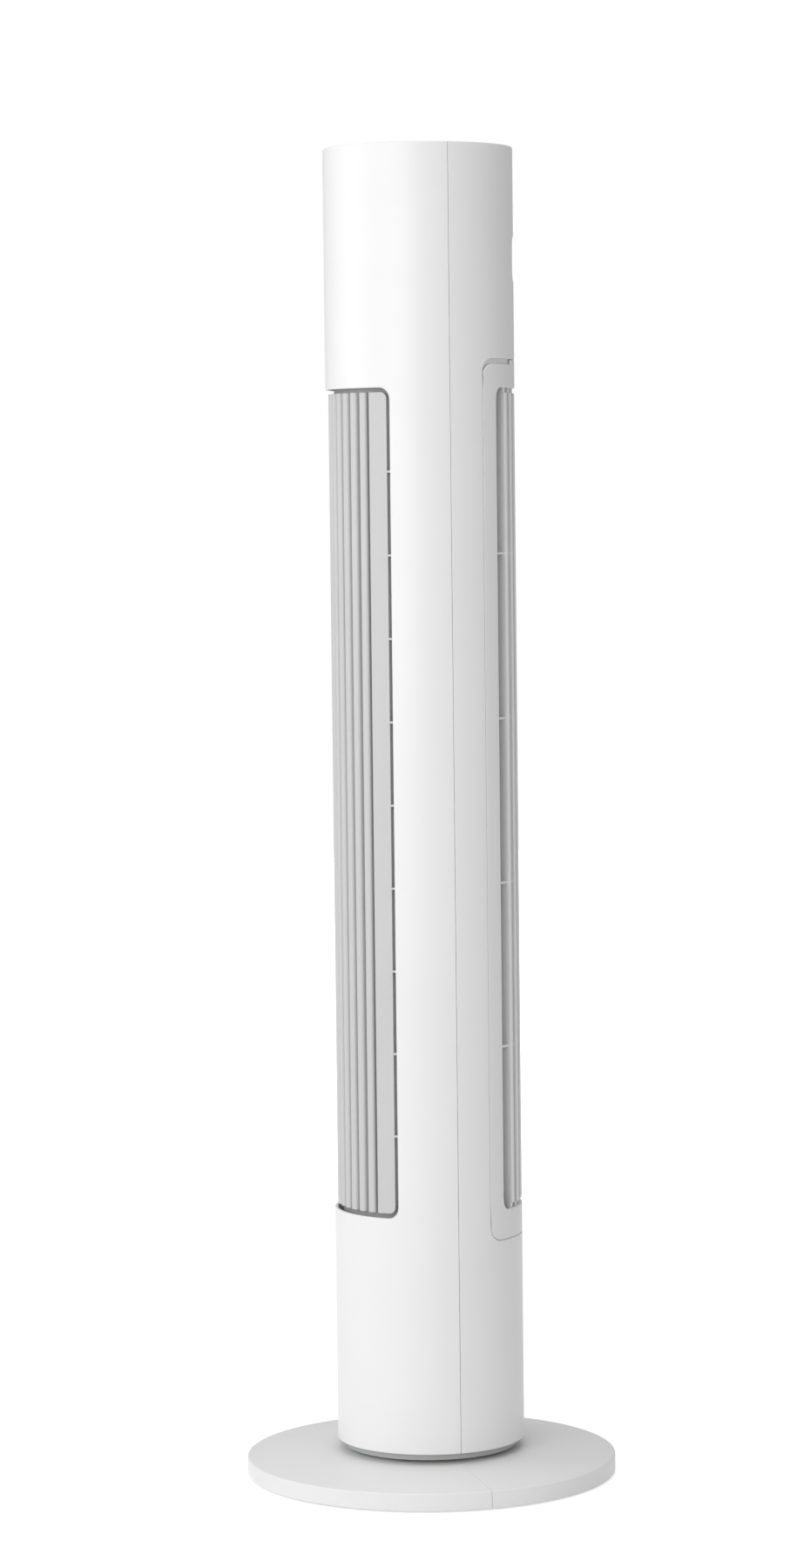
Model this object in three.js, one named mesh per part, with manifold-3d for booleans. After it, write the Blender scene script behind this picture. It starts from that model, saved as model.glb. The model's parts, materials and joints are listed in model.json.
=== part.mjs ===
// A tower fan: a slim upright round body that swings on a flat disc base.
// Millimetres, +Z up. The origin is on the floor, on the axis of the body.
// The air outlet faces -Y and the air intake, with its lift-off cover, faces +Y.

import * as THREE from 'three'
import { mergeVertices } from 'three/addons/utils/BufferGeometryUtils.js'
import Module from 'manifold-3d'

const wasm = await Module()
wasm.setup()

// ---------------------------------------------------------------- driving dimensions

const TOTAL_HEIGHT = 1100       // floor to the top of the body
const BODY_R = 78               // outside of the round body
const SHELL_WALL = 2.6
const GAP = 0.3                 // between any two pieces that touch or sit in each other
const SEAM_GAP = 0.3            // between the front and rear halves
const ROUND_SIDES = 48          // sides of a large round
const LARGE_ROUND = 5 / 6       // of the body's radius, from where a round gets all of its sides
const MEDIUM_ROUND_R = 12
const SMALL_ROUND_R = 5
const BITE = 0.5                // how far shapes run into each other where they are joined

// base
const BASE_R = 154
const BASE_WALL = 3
const RIM_TOP = 15.6            // height of the base's outer edge
const RIM_BOTTOM = 1.2
const RIM_EDGE_R = 1.5
const CROWN = 21.5              // height of the flat land in the middle of the base
const LAND_MARGIN = 2           // flat land past the body's side
const DOME_POWER = 1.6          // how the top of the base curves down to the rim
const PLATE_THICK = 2.5
const FOOT_R = 10
const FOOT_PAD = 1.3
const FOOT_STEM_R = 3
const FOOT_COUNT = 6
const FOOT_INSET = 24           // from the rim to the middle of a foot
const FOOT_START = 30           // degrees, first foot
const BASE_SCREW_INSET = 40
const BASE_SCREW_COUNT = 4
const BASE_SCREW_START = 45
const BASE_SCREW_BOSS_R = 4.5
const BASE_SCREW_LENGTH = 9
const BASE_SCREW_HEAD_HEIGHT = 0.7
const BASE_RIB_COUNT = 6
const BASE_RIB_THICK = 2
const BASE_RIB_CLEARANCE = 3    // from the neck's flange to the inner end of a rib

// neck and swing drive
const NECK_R = 30
const NECK_BORE_R = 25
const NECK_FLANGE_R = 48
const NECK_FLANGE_THICK = 3
const NECK_RISE = 3             // neck tube above the gear
const WASHER_THICK = 2.5
const WASHER_INSET = 12         // from the side of the turntable
const WASHER_BORE_R = 33
const TURNTABLE_THICK = 4
const TURNTABLE_RIM = 3
const TURNTABLE_INSET = 6       // how far the foot ring is set back from the body's side
const BODY_LIFT = 8.5           // from the base's land to the bottom of the body
const RETAINER_R = 40
const RETAINER_THICK = 3
const GEAR_MODULE = 1.6
const GEAR_TEETH = 44
const PINION_TEETH = 11
const GEAR_FACE = 8
const SPACER_WALL = 3
const GEAR_LIFT = 12            // from the retaining ring to the gear
const TOOTH_ADDENDUM = 0.75     // in modules
const TOOTH_DEDENDUM = 1.05
const TOOTH_BACKLASH = 0.32     // taken off each tooth's thickness at the pitch circle
const PRESSURE_ANGLE = 20
const SWING_MOTOR_ROOM = 6.4    // from the swing motor to the shell
const SWING_MOTOR_HEIGHT = 20
const SWING_MOTOR_RISE = 2       // swing motor above the neck tube
const SWING_EAR_THICK = 1.5
const SWING_POST_R = 4
const PINION_NECK_R = 4

// body shells
const TOP_EDGE_R = 2
const BOTTOM_EDGE_R = 1.5
const HEAD_HEIGHT = 197         // from the outlet's top edge to the top of the body
const PLINTH_HEIGHT = 225       // from the floor to the outlet's bottom edge
const LEDGE_DEPTH = 3.4         // how far a ledge stands in from the shell
const LEDGE_THICK = 3
const DUCT_LEDGE_DEPTH = 6      // ledges that hold the plates of the air duct
const SKIRT_LIFT = 3            // from the bottom of the body to the turntable's skirt
const POST_INSET = 10.5         // screw posts, in from the body's side
const REAR_POST_R = 4.6
const FRONT_POST_R = 4
const POST_REACH = 20           // how deep a screw enters the front shell's post
const SCREW_R = 1.5
const SCREW_HEAD_R = 3
const SCREW_HEAD_HEIGHT = 2.2
const SCREW_SEAT = 10           // from the seam to the seat of a screw head
const SCREW_CLEARANCE = 0.4
const SCREW_TIP_ROOM = 2.3      // from a screw's tip to the end of its hole
const SCREW_ROWS = [0.06, 0.5, 0.94]   // heights of the screws, as shares of the outlet

// outlet
const OUTLET_ANGLE = 53         // half of the angle that the outlet spans
const OUTLET_CORNER = 9
const GROOVE = 3.5              // dark gap between the outlet's edge and its grille
const GRILLE_INSET = 2.5        // grille's face below the body's side
const GRILLE_FACE_THICK = 2.2
const GRILLE_BAR = 4
const FLANGE_ANGLE = 38.8       // where the plain side bands of the grille begin
const SLAT_PITCH = 8.2          // degrees
const SLAT_SIDE_COUNT = 4       // slats on each side of the middle one
const SLAT_NOSE = 5.5           // width of a slat at its face
const SLAT_TAIL = 1.8           // and at its back
const SLAT_EDGE = 0.8           // bevel of a slat's face
const SLAT_DEPTH = 15
const RIB_PITCH = 136
const CLIP_PITCH = 68           // small clips that bridge the groove round the grille
const CLIP_PROUD = 0.5
const RIB_THICK = 1.8
const RIB_DEPTH = 7.5
const GRILLE_OPENING_CORNER = 2
const GRILLE_SEAT_ANGLE = 2.5
const GRILLE_SEAT_GAP = 0.45    // between the grille's seats and the shell
const RAIL_ANGLE = 44           // where the grille's back rail begins
const BACK_FRAME_SETBACK = 2.4  // back frame behind the grille's side bands
const BACK_FRAME_DEPTH = 2.4
const FLANGE_WALL = 2
const BACK_FRAME_MARGIN = 5.6   // past the outlet's edge, behind the shell

// intake cover
const INTAKE_ANGLE = 55.5
const INTAKE_CORNER = 8
const INTAKE_RISE = 2           // intake's bottom edge above the outlet's
const COVER_ANGLE = 67.5
const COVER_FOOT = 24.2         // cover below the intake
const COVER_HEAD = 23           // cover above the intake
const COVER_CORNER = 13
const COVER_TOP_CORNER = 12
const COVER_THICK = 2.7
const COVER_SLOT_HEIGHT = 4.2   // nail slots at the upper corners of the cover
const COVER_SLOT_ANGLE = 33     // from the rear, where a slot begins
const INTAKE_PITCH = 8.7        // degrees
const INTAKE_BAR_INSET = 0.2
const INTAKE_BAR_NOSE = 4.5
const INTAKE_BAR_TAIL = 1.6
const INTAKE_BAR_DEPTH = 8
const INTAKE_STEP_HEIGHT = 4.5  // ends of the bars, where they step back
const INTAKE_STEP_DEPTH = 1.8
const INTAKE_BAR_LAP = 1.5      // bars past the ends of the opening
const INTAKE_SIDE_COUNT = 5
const INTAKE_RIB_DEPTH = 3.2
const SEAT_DEPTH = 2.7
const SEAT_MARGIN = 6.5         // seat seen inside the cover's opening
const SEAT_SIDE_MARGIN = 2      // seat's opening beyond the sides of the intake
const SEAT_ANGLE = 82.5
const SEAT_BELOW = 7            // seat below the cover
const SEAT_ABOVE = 6            // and above it
const SEAT_HEAD = 2             // seat's opening above the intake
const COVER_TRAVEL_ROOM = 0.35  // between the cover's edge and the shell

// carry handle
const HANDLE_DROP = 91.5        // from the top of the body to the middle of the grip
const HANDLE_HEIGHT = 37
const HANDLE_HALF_WIDTH = 38.5
const HANDLE_CORNER = 8
const HANDLE_DEPTH = 34
const HANDLE_WALL = 2
const HANDLE_HOOK = 14          // how far fingers curl up behind the lip
const HANDLE_LIP = 5.5

// air path
const IMPELLER_INSET = 32       // impeller's radius, less than the body's
const IMPELLER_OFFSET = 10      // impeller's axis behind the body's axis
const IMPELLER_END_GAP = 2
const BLADE_COUNT = 20
const BLADE_CHORD = 10
const BLADE_SWEEP = 14          // degrees from a blade's inner to its outer edge
const BLADE_THICK = 1.4
const DISC_THICK = 2
const DISC_MARGIN = 0.9         // a disc past the edges of the blades
const DISC_PITCH = 224
const DUCT_PLATE_THICK = 4
const DUCT_FLOOR_DROP = 8       // from the outlet's bottom edge to the duct floor's top
const DUCT_CEILING_RISE = 6
const DUCT_INSET = 6.5          // duct plates, in from the body's side
const DUCT_WALL = 2
const DUCT_POST_ROOM = 1        // from a duct wall to the screw posts
const TONGUE_NOSE_R = 1.4
const DUCT_CLEARANCE = 4        // from the impeller to the nearest edge of a duct wall
const DUCT_EDGE_INSET = 12      // ends of the duct walls, in from the body's side
const GUIDE_LIP_ANGLE = 42      // from the rear, where the guide comes nearest to the impeller
const GUIDE_TURN_ANGLE = 62
const GUIDE_STRAIGHT = 15
const GUIDE_STEPS = 18
const GUIDE_END_ANGLE = 58
const TONGUE_ANGLE = 125        // from the rear, to the other side
const HUB_R = 11
const HUB_HEIGHT = 22
const HUB_FLOOR = 3
const SHAFT_R = 3
const SHAFT_HOLE_R = 9          // hole in the duct floor
const TOP_PIN_R = 4
const BEARING_R = 9.7
const BEARING_FLANGE_R = 13
const BEARING_FLANGE_THICK = 2
const BEARING_DROP = 3          // bearing below the duct ceiling

// fan motor
const MOTOR_R = 33
const MOTOR_HEIGHT = 46
const MOTOR_BOSS_R = 10
const MOTOR_BOSS_HEIGHT = 4
const SHAFT_FLOOR = 10          // shaft's end above the bottom of the motor
const MOTOR_PLATE_R = 38
const MOTOR_PLATE_THICK = 2.5
const DAMPER_R = 6
const DAMPER_HEIGHT = 9.6
const DAMPER_CIRCLE_R = 30
const DAMPER_COUNT = 3

// control panel
const PANEL_DROP = 1.4          // panel's face below the top edge
const PANEL_THICK = 3
const BUTTON_R = 7
const BUTTON_CLEARANCE = 0.4
const BUTTON_PROUD = 0.8
const BUTTON_TRAVEL = 0.8
const BUTTON_FLANGE = 1.2
const BUTTON_FLANGE_THICK = 1.6
const BUTTON_STEM_R = 2.5
const BUTTON_STEM_LENGTH = 4.1
const BUTTON_INSET = 32         // middle of a button, in from the body's side
const BUTTON_PITCH = 30         // degrees
const LENS_R = 16
const LENS_FLANGE = 2
const LENS_FLANGE_THICK = 1.7
const BOARD_INSET = 16          // edge of the control board, in from the body's side
const BOARD_THICK = 1.6
const BOARD_DROP = 14
const BOARD_POST_R = 3
const BOARD_POST_INSET = 22
const BOARD_POST_COUNT = 4
const BOARD_POST_START = 80     // degrees, clear of the buttons
const SWITCH_SIZE = 6
const SWITCH_HEIGHT = 3.5
const SWITCH_PLUNGER_R = 1.75
const DISPLAY = { width: 22, depth: 14 }
const POWER_BOARD = { width: 70, height: 58, thick: 1.6, y: -30 }
const POWER_BLOCK = { width: 22, depth: 16, height: 26, x: -13, lift: 8 }
const POWER_RELAY = { width: 16, depth: 11, height: 18, x: 16, lift: 12 }
const POWER_FOOT = { width: 60, depth: 16, height: 2 }

// power inlet
const INLET_WIDTH = 14.4
const INLET_HEIGHT = 7.4
const INLET_LENGTH = 15
const INLET_BORE_R = 2.9
const INLET_BORE_DEPTH = 10
const INLET_PIN_R = 0.9
const INLET_PIN_RECESS = 1
const INLET_RECESS = 0.5        // inlet's mouth inside the rim

// ---------------------------------------------------------------- heights and radii

const shellInnerR = BODY_R - SHELL_WALL
const landR = BODY_R + LAND_MARGIN
const plateBottom = FOOT_PAD + GAP
const plateTop = plateBottom + PLATE_THICK
const washerBottom = CROWN + GAP
const turntableBottom = washerBottom + WASHER_THICK + GAP
const turntableTop = turntableBottom + TURNTABLE_THICK
const turntableR = BODY_R - TURNTABLE_INSET
const washerR = turntableR - WASHER_INSET
const bodyBottom = CROWN + BODY_LIFT
const skirtBottom = bodyBottom + SKIRT_LIFT
const retainerBottom = turntableTop + GAP
const gearBottom = retainerBottom + RETAINER_THICK + GEAR_LIFT
const gearTop = gearBottom + GEAR_FACE
const gearCentreDistance = GEAR_MODULE * (GEAR_TEETH + PINION_TEETH) / 2
const neckTop = gearTop + NECK_RISE
const swingMotorBottom = neckTop + SWING_MOTOR_RISE
const swingMotorR = shellInnerR - gearCentreDistance - SWING_MOTOR_ROOM
const swingPostX = swingMotorR + SWING_POST_R

const outletBottom = PLINTH_HEIGHT
const outletTop = TOTAL_HEIGHT - HEAD_HEIGHT
const outletHeight = outletTop - outletBottom
const ductFloorTop = outletBottom - DUCT_FLOOR_DROP
const ductFloorBottom = ductFloorTop - DUCT_PLATE_THICK
const ductCeilingBottom = outletTop + DUCT_CEILING_RISE
const ductCeilingTop = ductCeilingBottom + DUCT_PLATE_THICK
const intakeBottom = outletBottom + INTAKE_RISE
const intakeTop = outletTop
const coverBottom = intakeBottom - COVER_FOOT
const coverTop = intakeTop + COVER_HEAD
const coverSlotBottom = coverTop - COVER_SLOT_HEIGHT
const coverInnerR = BODY_R - COVER_THICK
const coverSeatR = coverInnerR - GAP
const seatInnerR = coverSeatR - SEAT_DEPTH

const ductR = BODY_R - DUCT_INSET
const ductEdgeR = BODY_R - DUCT_EDGE_INSET
const impellerR = BODY_R - IMPELLER_INSET
const impellerBottom = outletBottom + IMPELLER_END_GAP
const impellerTop = outletTop - IMPELLER_END_GAP
const postX = BODY_R - POST_INSET
const handleZ = TOTAL_HEIGHT - HANDLE_DROP
const panelTop = TOTAL_HEIGHT - PANEL_DROP
const panelBottom = panelTop - PANEL_THICK
const panelR = shellInnerR - GAP
const boardTop = panelBottom - BOARD_DROP
const buttonTop = panelTop + BUTTON_PROUD
const buttonFlangeTop = panelBottom - BUTTON_CLEARANCE
const buttonStemBottom = buttonFlangeTop - BUTTON_FLANGE_THICK - BUTTON_STEM_LENGTH
const plungerTop = buttonStemBottom - BUTTON_TRAVEL - GAP
const motorPlateTop = ductFloorBottom - DAMPER_HEIGHT - 2 * GAP
const motorPlateBottom = motorPlateTop - MOTOR_PLATE_THICK
const motorTop = motorPlateBottom - GAP
const motorBottom = motorTop - MOTOR_HEIGHT
const shaftBottom = motorBottom + SHAFT_FLOOR

// ---------------------------------------------------------------- shape helpers

const { degToRad, radToDeg } = THREE.MathUtils
const v2 = (x, y) => new THREE.Vector2(x, y)

// Turns a closed three.js geometry into a solid for joining and cutting.
function toSolid(geometry) {
  const bare = geometry.clone()
  bare.deleteAttribute('normal')
  bare.deleteAttribute('uv')
  const merged = mergeVertices(bare, 1e-4)
  const points = merged.attributes.position.array
  const index = merged.index.array
  const triangles = []
  let volume = 0
  for (let i = 0; i < index.length; i += 3) {
    const [a, b, c] = [index[i], index[i + 1], index[i + 2]]
    if (a === b || b === c || c === a) continue
    triangles.push(a, b, c)
    const [p, q, r] = [a, b, c].map(k => new THREE.Vector3().fromArray(points, 3 * k))
    volume += p.dot(q.cross(r))
  }
  if (volume < 0) {
    for (let i = 0; i < triangles.length; i += 3) {
      [triangles[i + 1], triangles[i + 2]] = [triangles[i + 2], triangles[i + 1]]
    }
  }
  return new wasm.Manifold(new wasm.Mesh({
    numProp: 3,
    vertProperties: new Float32Array(points),
    triVerts: new Uint32Array(triangles),
  }))
}

const join = (first, ...rest) => rest.reduce((sum, solid) => sum.add(solid), first)
const cut = (first, ...rest) => rest.reduce((left, solid) => left.subtract(solid), first)

// A point at radius r, turned by an angle in degrees from the front (-Y) towards +X.
const polar = (r, angle) => v2(r * Math.sin(degToRad(angle)), -r * Math.cos(degToRad(angle)))

// Points along an arc. Between its ends they lie on the same angles as every other large round.
function arc(r, from, to) {
  const [low, high] = [Math.min(from, to), Math.max(from, to)]
  const angles = [low]
  const step = 360 / ROUND_SIDES
  for (let a = step * Math.ceil((low + 1) / step); a < high - 1; a += step) angles.push(a)
  angles.push(high)
  return (from < to ? angles : angles.reverse()).map(a => polar(r, a))
}

// How many sides a round gets: all of them when it is nearly as wide as the body, fewer when small.
function sidesFor(r) {
  if (r > LARGE_ROUND * BODY_R) return ROUND_SIDES
  if (r > MEDIUM_ROUND_R) return Math.round(ROUND_SIDES / 2)
  return Math.round(ROUND_SIDES / (r > SMALL_ROUND_R ? 4 : 6))
}

function circle(r, x = 0, y = 0, sides = sidesFor(r)) {
  return Array.from({ length: sides }, (_, i) => polar(r, 360 * i / sides).add(v2(x, y)))
}

// An outline in X and Y, extruded from one height to another.
function prism(outline, z0, z1) {
  const shape = new THREE.Shape(outline)
  const geometry = new THREE.ExtrudeGeometry(shape, { depth: z1 - z0, bevelEnabled: false })
  return toSolid(geometry.translate(0, 0, z0))
}

// An outline in X and Z, extruded from one Y to another.
function prismY(outline, y0, y1) {
  const shape = new THREE.Shape(outline)
  const geometry = new THREE.ExtrudeGeometry(shape, { depth: y1 - y0, bevelEnabled: false })
  return toSolid(geometry.rotateX(Math.PI / 2).translate(0, y1, 0))
}

const disc = (r, z0, z1, x = 0, y = 0) => prism(circle(r, x, y), z0, z1)
const tube = (r0, r1, z0, z1, x = 0, y = 0) =>
  cut(disc(r1, z0, z1, x, y), disc(r0, z0 - 1, z1 + 1, x, y))
const rodY = (r, y0, y1, x, z) => prismY(circle(r, x, z), y0, y1)

const sector = (r0, r1, from, to, z0, z1) =>
  prism([...arc(r1, from, to), ...arc(r0, to, from)], z0, z1)

// An outline of radius and height points, turned round the Z axis.
function turned(profile) {
  const points = profile.map(([r, z]) => v2(r, z))
  const geometry = new THREE.LatheGeometry([...points, points[0]], ROUND_SIDES)
  return toSolid(geometry.rotateX(Math.PI / 2))
}

function box(x0, x1, y0, y1, z0, z1) {
  const geometry = new THREE.BoxGeometry(x1 - x0, y1 - y0, z1 - z0)
  return toSolid(geometry.translate((x0 + x1) / 2, (y0 + y1) / 2, (z0 + z1) / 2))
}

// A quarter round from one direction to the next, as points about a centre.
function corner(cx, cy, r, from, steps = 4) {
  return Array.from({ length: steps + 1 }, (_, i) => {
    const angle = degToRad(from + 90 * i / steps)
    return v2(cx + r * Math.cos(angle), cy + r * Math.sin(angle))
  })
}

function roundedRect(x0, x1, y0, y1, r, topR = r) {
  return [
    ...corner(x1 - r, y0 + r, r, 270),
    ...corner(x1 - topR, y1 - topR, topR, 0),
    ...corner(x0 + topR, y1 - topR, topR, 90),
    ...corner(x0 + r, y0 + r, r, 180),
  ]
}

// A rounded window drawn on the body's round side, seen square on: arc lengths become X.
function windowOutline(halfAngle, z0, z1, r, topR = r) {
  const half = BODY_R * degToRad(halfAngle)
  const flat = roundedRect(-half, half, z0, z1, r, topR)
  return flat.map(p => v2(BODY_R * Math.sin(p.x / BODY_R), p.y))
}

// Places spread evenly round a circle, the first one at the given angle.
function ringPlaces(count, r, start) {
  return Array.from({ length: count }, (_, i) => polar(r, start + 360 * i / count).toArray())
}

const FAR = 400
const frontHalf = () => box(-FAR, FAR, -FAR, -SEAM_GAP / 2, -FAR, TOTAL_HEIGHT + FAR)
const rearHalf = () => box(-FAR, FAR, SEAM_GAP / 2, FAR, -FAR, TOTAL_HEIGHT + FAR)
const towardsFront = outline => prismY(outline, -FAR, 0)
const towardsRear = outline => prismY(outline, 0, FAR)

// ---------------------------------------------------------------- named parts

const looks = {
  white: { color: 0xf4f4f2, roughness: 0.42, metalness: 0 },
  softWhite: { color: 0xe9eaea, roughness: 0.5, metalness: 0 },
  grey: { color: 0x9a9c9f, roughness: 0.55, metalness: 0 },
  dark: { color: 0x2b2d30, roughness: 0.5, metalness: 0 },
  rubber: { color: 0x1f2022, roughness: 0.85, metalness: 0 },
  acetal: { color: 0xe6e2d6, roughness: 0.35, metalness: 0 },
  steel: { color: 0xb8bbbf, roughness: 0.3, metalness: 1 },
  board: { color: 0x1f5a3c, roughness: 0.45, metalness: 0 },
  lens: { color: 0x17191c, roughness: 0.12, metalness: 0 },
}

function part(name, solid, look) {
  const { vertProperties, triVerts } = solid.getMesh()
  const geometry = new THREE.BufferGeometry()
  geometry.setAttribute('position', new THREE.BufferAttribute(vertProperties, 3))
  geometry.setIndex(new THREE.BufferAttribute(triVerts, 1))
  geometry.computeVertexNormals()
  const mesh = new THREE.Mesh(geometry, new THREE.MeshStandardMaterial(look))
  mesh.name = name
  return mesh
}

const group = new THREE.Group()
const assembly = (x, y, ...meshes) => {
  const sub = new THREE.Group()
  sub.position.set(x, y, 0)
  sub.add(...meshes)
  group.add(sub)
}

// ---------------------------------------------------------------- base

const baseScrewTop = plateTop + BASE_SCREW_LENGTH
const footPlaces = ringPlaces(FOOT_COUNT, BASE_R - FOOT_INSET, FOOT_START)
const baseScrewPlaces = ringPlaces(BASE_SCREW_COUNT, BASE_R - BASE_SCREW_INSET, BASE_SCREW_START)

const domeHeight = r => CROWN - (CROWN - RIM_TOP) * ((r - landR) / (BASE_R - landR)) ** DOME_POWER

function domeProfile(offset, outerR, steps) {
  const points = []
  for (let i = 0; i <= steps; i++) {
    const r = landR + (outerR - landR) * i / steps
    points.push([r, domeHeight(r) - offset])
  }
  return points
}

// The whole base disc, before it is parted into its two halves.
function baseDisc() {
  const edgeR = BASE_R - RIM_EDGE_R
  const innerR = BASE_R - BASE_WALL
  const boreR = NECK_R + GAP
  const top = domeProfile(0, edgeR, 4)
  const under = domeProfile(BASE_WALL, innerR, 2).reverse()
  const skin = turned([
    [boreR, CROWN - BASE_WALL],
    [boreR, CROWN],
    ...top,
    [BASE_R, RIM_TOP - RIM_EDGE_R],
    [BASE_R, RIM_BOTTOM],
    [innerR, RIM_BOTTOM],
    ...under,
  ])
  const filled = turned([
    [boreR, RIM_BOTTOM],
    [boreR, CROWN - BITE],
    ...domeProfile(BITE, innerR + BITE, 2),
    [innerR + BITE, RIM_BOTTOM],
  ])
  const ribs = []
  const ribBottom = plateTop + GAP
  for (let i = 0; i < BASE_RIB_COUNT; i++) {
    const half = BASE_RIB_THICK / 2
    const rib = box(NECK_FLANGE_R + BASE_RIB_CLEARANCE, BASE_R, -half, half, ribBottom, CROWN)
    ribs.push(rib.rotate([0, 0, 360 * (i + 0.5) / BASE_RIB_COUNT]))
  }
  for (const [x, y] of baseScrewPlaces) {
    ribs.push(disc(BASE_SCREW_BOSS_R, ribBottom, CROWN, x, y))
  }
  const ribbed = skin.add(join(...ribs).intersect(filled))
  const holes = baseScrewPlaces.map(([x, y]) =>
    disc(SCREW_R + GAP, ribBottom - 1, baseScrewTop + GAP, x, y))
  return cut(ribbed, ...holes)
}

function inletOpening(clearance) {
  const side = INLET_WIDTH / 2 + clearance
  const bottom = plateTop + GAP - clearance
  const top = plateTop + GAP + INLET_HEIGHT + clearance
  return box(-side, side, BASE_R - INLET_LENGTH - clearance, BASE_R + 1, bottom, top)
}

function basePlate() {
  const plate = tube(NECK_BORE_R, BASE_R - BASE_WALL - GAP, plateBottom, plateTop)
  const holes = [
    ...footPlaces.map(([x, y]) => disc(FOOT_STEM_R + GAP, 0, plateTop + 1, x, y)),
    ...baseScrewPlaces.map(([x, y]) => disc(SCREW_R + GAP, 0, plateTop + 1, x, y)),
  ]
  return cut(plate, ...holes)
}

function foot() {
  return disc(FOOT_R, 0, FOOT_PAD).add(disc(FOOT_STEM_R, FOOT_PAD - BITE, plateTop))
}

function baseScrew() {
  const headTop = plateBottom - GAP
  const head = disc(SCREW_HEAD_R, headTop - BASE_SCREW_HEAD_HEIGHT, headTop)
  return head.add(disc(SCREW_R, headTop - BASE_SCREW_HEAD_HEIGHT / 2, baseScrewTop))
}

function neckTube() {
  const flangeBottom = plateTop + GAP
  const flange = tube(NECK_BORE_R, NECK_FLANGE_R, flangeBottom, flangeBottom + NECK_FLANGE_THICK)
  return flange.add(tube(NECK_BORE_R, NECK_R, flangeBottom, neckTop))
}

// One involute tooth after another, as an outline round the origin.
function gearOutline(teeth, firstAngle) {
  const pitchR = GEAR_MODULE * teeth / 2
  const baseR = pitchR * Math.cos(degToRad(PRESSURE_ANGLE))
  const rootR = pitchR - TOOTH_DEDENDUM * GEAR_MODULE
  const tipR = pitchR + TOOTH_ADDENDUM * GEAR_MODULE
  const involute = r => {
    const alpha = Math.acos(Math.min(1, baseR / r))
    return Math.tan(alpha) - alpha
  }
  const halfAtPitch = Math.PI / (2 * teeth) - TOOTH_BACKLASH / 2 / pitchR
  const halfTooth = r => halfAtPitch + involute(pitchR) - involute(Math.max(r, baseR))
  const flank = baseR > rootR ? [rootR, baseR, pitchR, tipR] : [rootR, pitchR, tipR]
  const points = []
  for (let i = 0; i < teeth; i++) {
    const middle = degToRad(firstAngle) + 2 * Math.PI * i / teeth
    for (const r of flank) points.push(polar(r, radToDeg(middle - halfTooth(r))))
    for (const r of [...flank].reverse()) points.push(polar(r, radToDeg(middle + halfTooth(r))))
  }
  return points
}

function swingGear() {
  const teeth = prism(gearOutline(GEAR_TEETH, 0), gearBottom, gearTop)
  return cut(teeth, disc(NECK_R + GAP, gearBottom - 1, gearTop + 1))
}

function retainingRing() {
  return tube(NECK_R + GAP, RETAINER_R, retainerBottom, retainerBottom + RETAINER_THICK)
}

function gearSpacer() {
  const bottom = retainerBottom + RETAINER_THICK + GAP
  return tube(NECK_R + GAP, NECK_R + SPACER_WALL, bottom, gearBottom - GAP)
}

function thrustWasher() {
  return tube(WASHER_BORE_R, washerR, washerBottom, washerBottom + WASHER_THICK)
}

function powerInlet() {
  const centreZ = plateTop + GAP + INLET_HEIGHT / 2
  const mouth = BASE_R - INLET_RECESS
  const body = cut(inletOpening(0), box(-FAR, FAR, mouth, FAR, 0, FAR))
  const bore = rodY(INLET_BORE_R, mouth - INLET_BORE_DEPTH, mouth + 1, 0, centreZ)
  const pin = rodY(INLET_PIN_R, mouth - INLET_BORE_DEPTH - BITE, mouth - INLET_PIN_RECESS, 0, centreZ)
  return body.subtract(bore).add(pin)
}

const wholeBase = baseDisc()
const inletHole = inletOpening(GAP)
assembly(0, 0,
  part('base_front_half', wholeBase.intersect(frontHalf()), looks.white),
  part('base_rear_half', wholeBase.intersect(rearHalf()).subtract(inletHole), looks.white),
  part('base_plate', basePlate(), looks.steel),
  part('neck_tube', neckTube(), looks.steel),
  part('thrust_washer', thrustWasher(), looks.acetal),
  part('retaining_ring', retainingRing(), looks.steel),
  part('gear_spacer', gearSpacer(), looks.acetal),
  part('swing_gear', swingGear(), looks.acetal),
  part('power_inlet', powerInlet(), looks.dark),
)
footPlaces.forEach(([x, y], i) => assembly(x, y, part(`foot_${i + 1}`, foot(), looks.rubber)))
baseScrewPlaces.forEach(([x, y], i) => assembly(x, y, part(`base_screw_${i + 1}`, baseScrew(), looks.steel)))

// ---------------------------------------------------------------- turntable and swing drive

function turntable() {
  const skirtTop = skirtBottom + LEDGE_THICK
  const deck = turned([
    [NECK_R + GAP, turntableBottom],
    [turntableR, turntableBottom],
    [turntableR, skirtBottom],
    [shellInnerR - GAP, skirtBottom],
    [shellInnerR - GAP, skirtTop],
    [turntableR - TURNTABLE_RIM, skirtTop],
    [turntableR - TURNTABLE_RIM, turntableTop],
    [NECK_R + GAP, turntableTop],
  ])
  const [postBottom, postTop] = [turntableTop - BITE, swingMotorBottom - GAP]
  const posts = [-1, 1].map(side =>
    disc(SWING_POST_R, postBottom, postTop, side * swingPostX, -gearCentreDistance))
  return join(deck, ...posts)
}

function swingMotor() {
  const bottom = swingMotorBottom
  const reach = swingPostX + SWING_POST_R
  const ears = box(-reach, reach, -SWING_POST_R, SWING_POST_R, bottom, bottom + SWING_EAR_THICK)
  return disc(swingMotorR, bottom, bottom + SWING_MOTOR_HEIGHT).add(ears)
}

function swingPinion() {
  const teeth = prism(gearOutline(PINION_TEETH, 180 + 180 / PINION_TEETH), gearBottom, gearTop)
  return teeth.add(disc(PINION_NECK_R, gearTop - BITE, swingMotorBottom - GAP))
}

assembly(0, 0, part('turntable', turntable(), looks.grey))
assembly(0, -gearCentreDistance,
  part('swing_motor', swingMotor(), looks.steel),
  part('swing_pinion', swingPinion(), looks.acetal),
)

// ---------------------------------------------------------------- body shells

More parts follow.
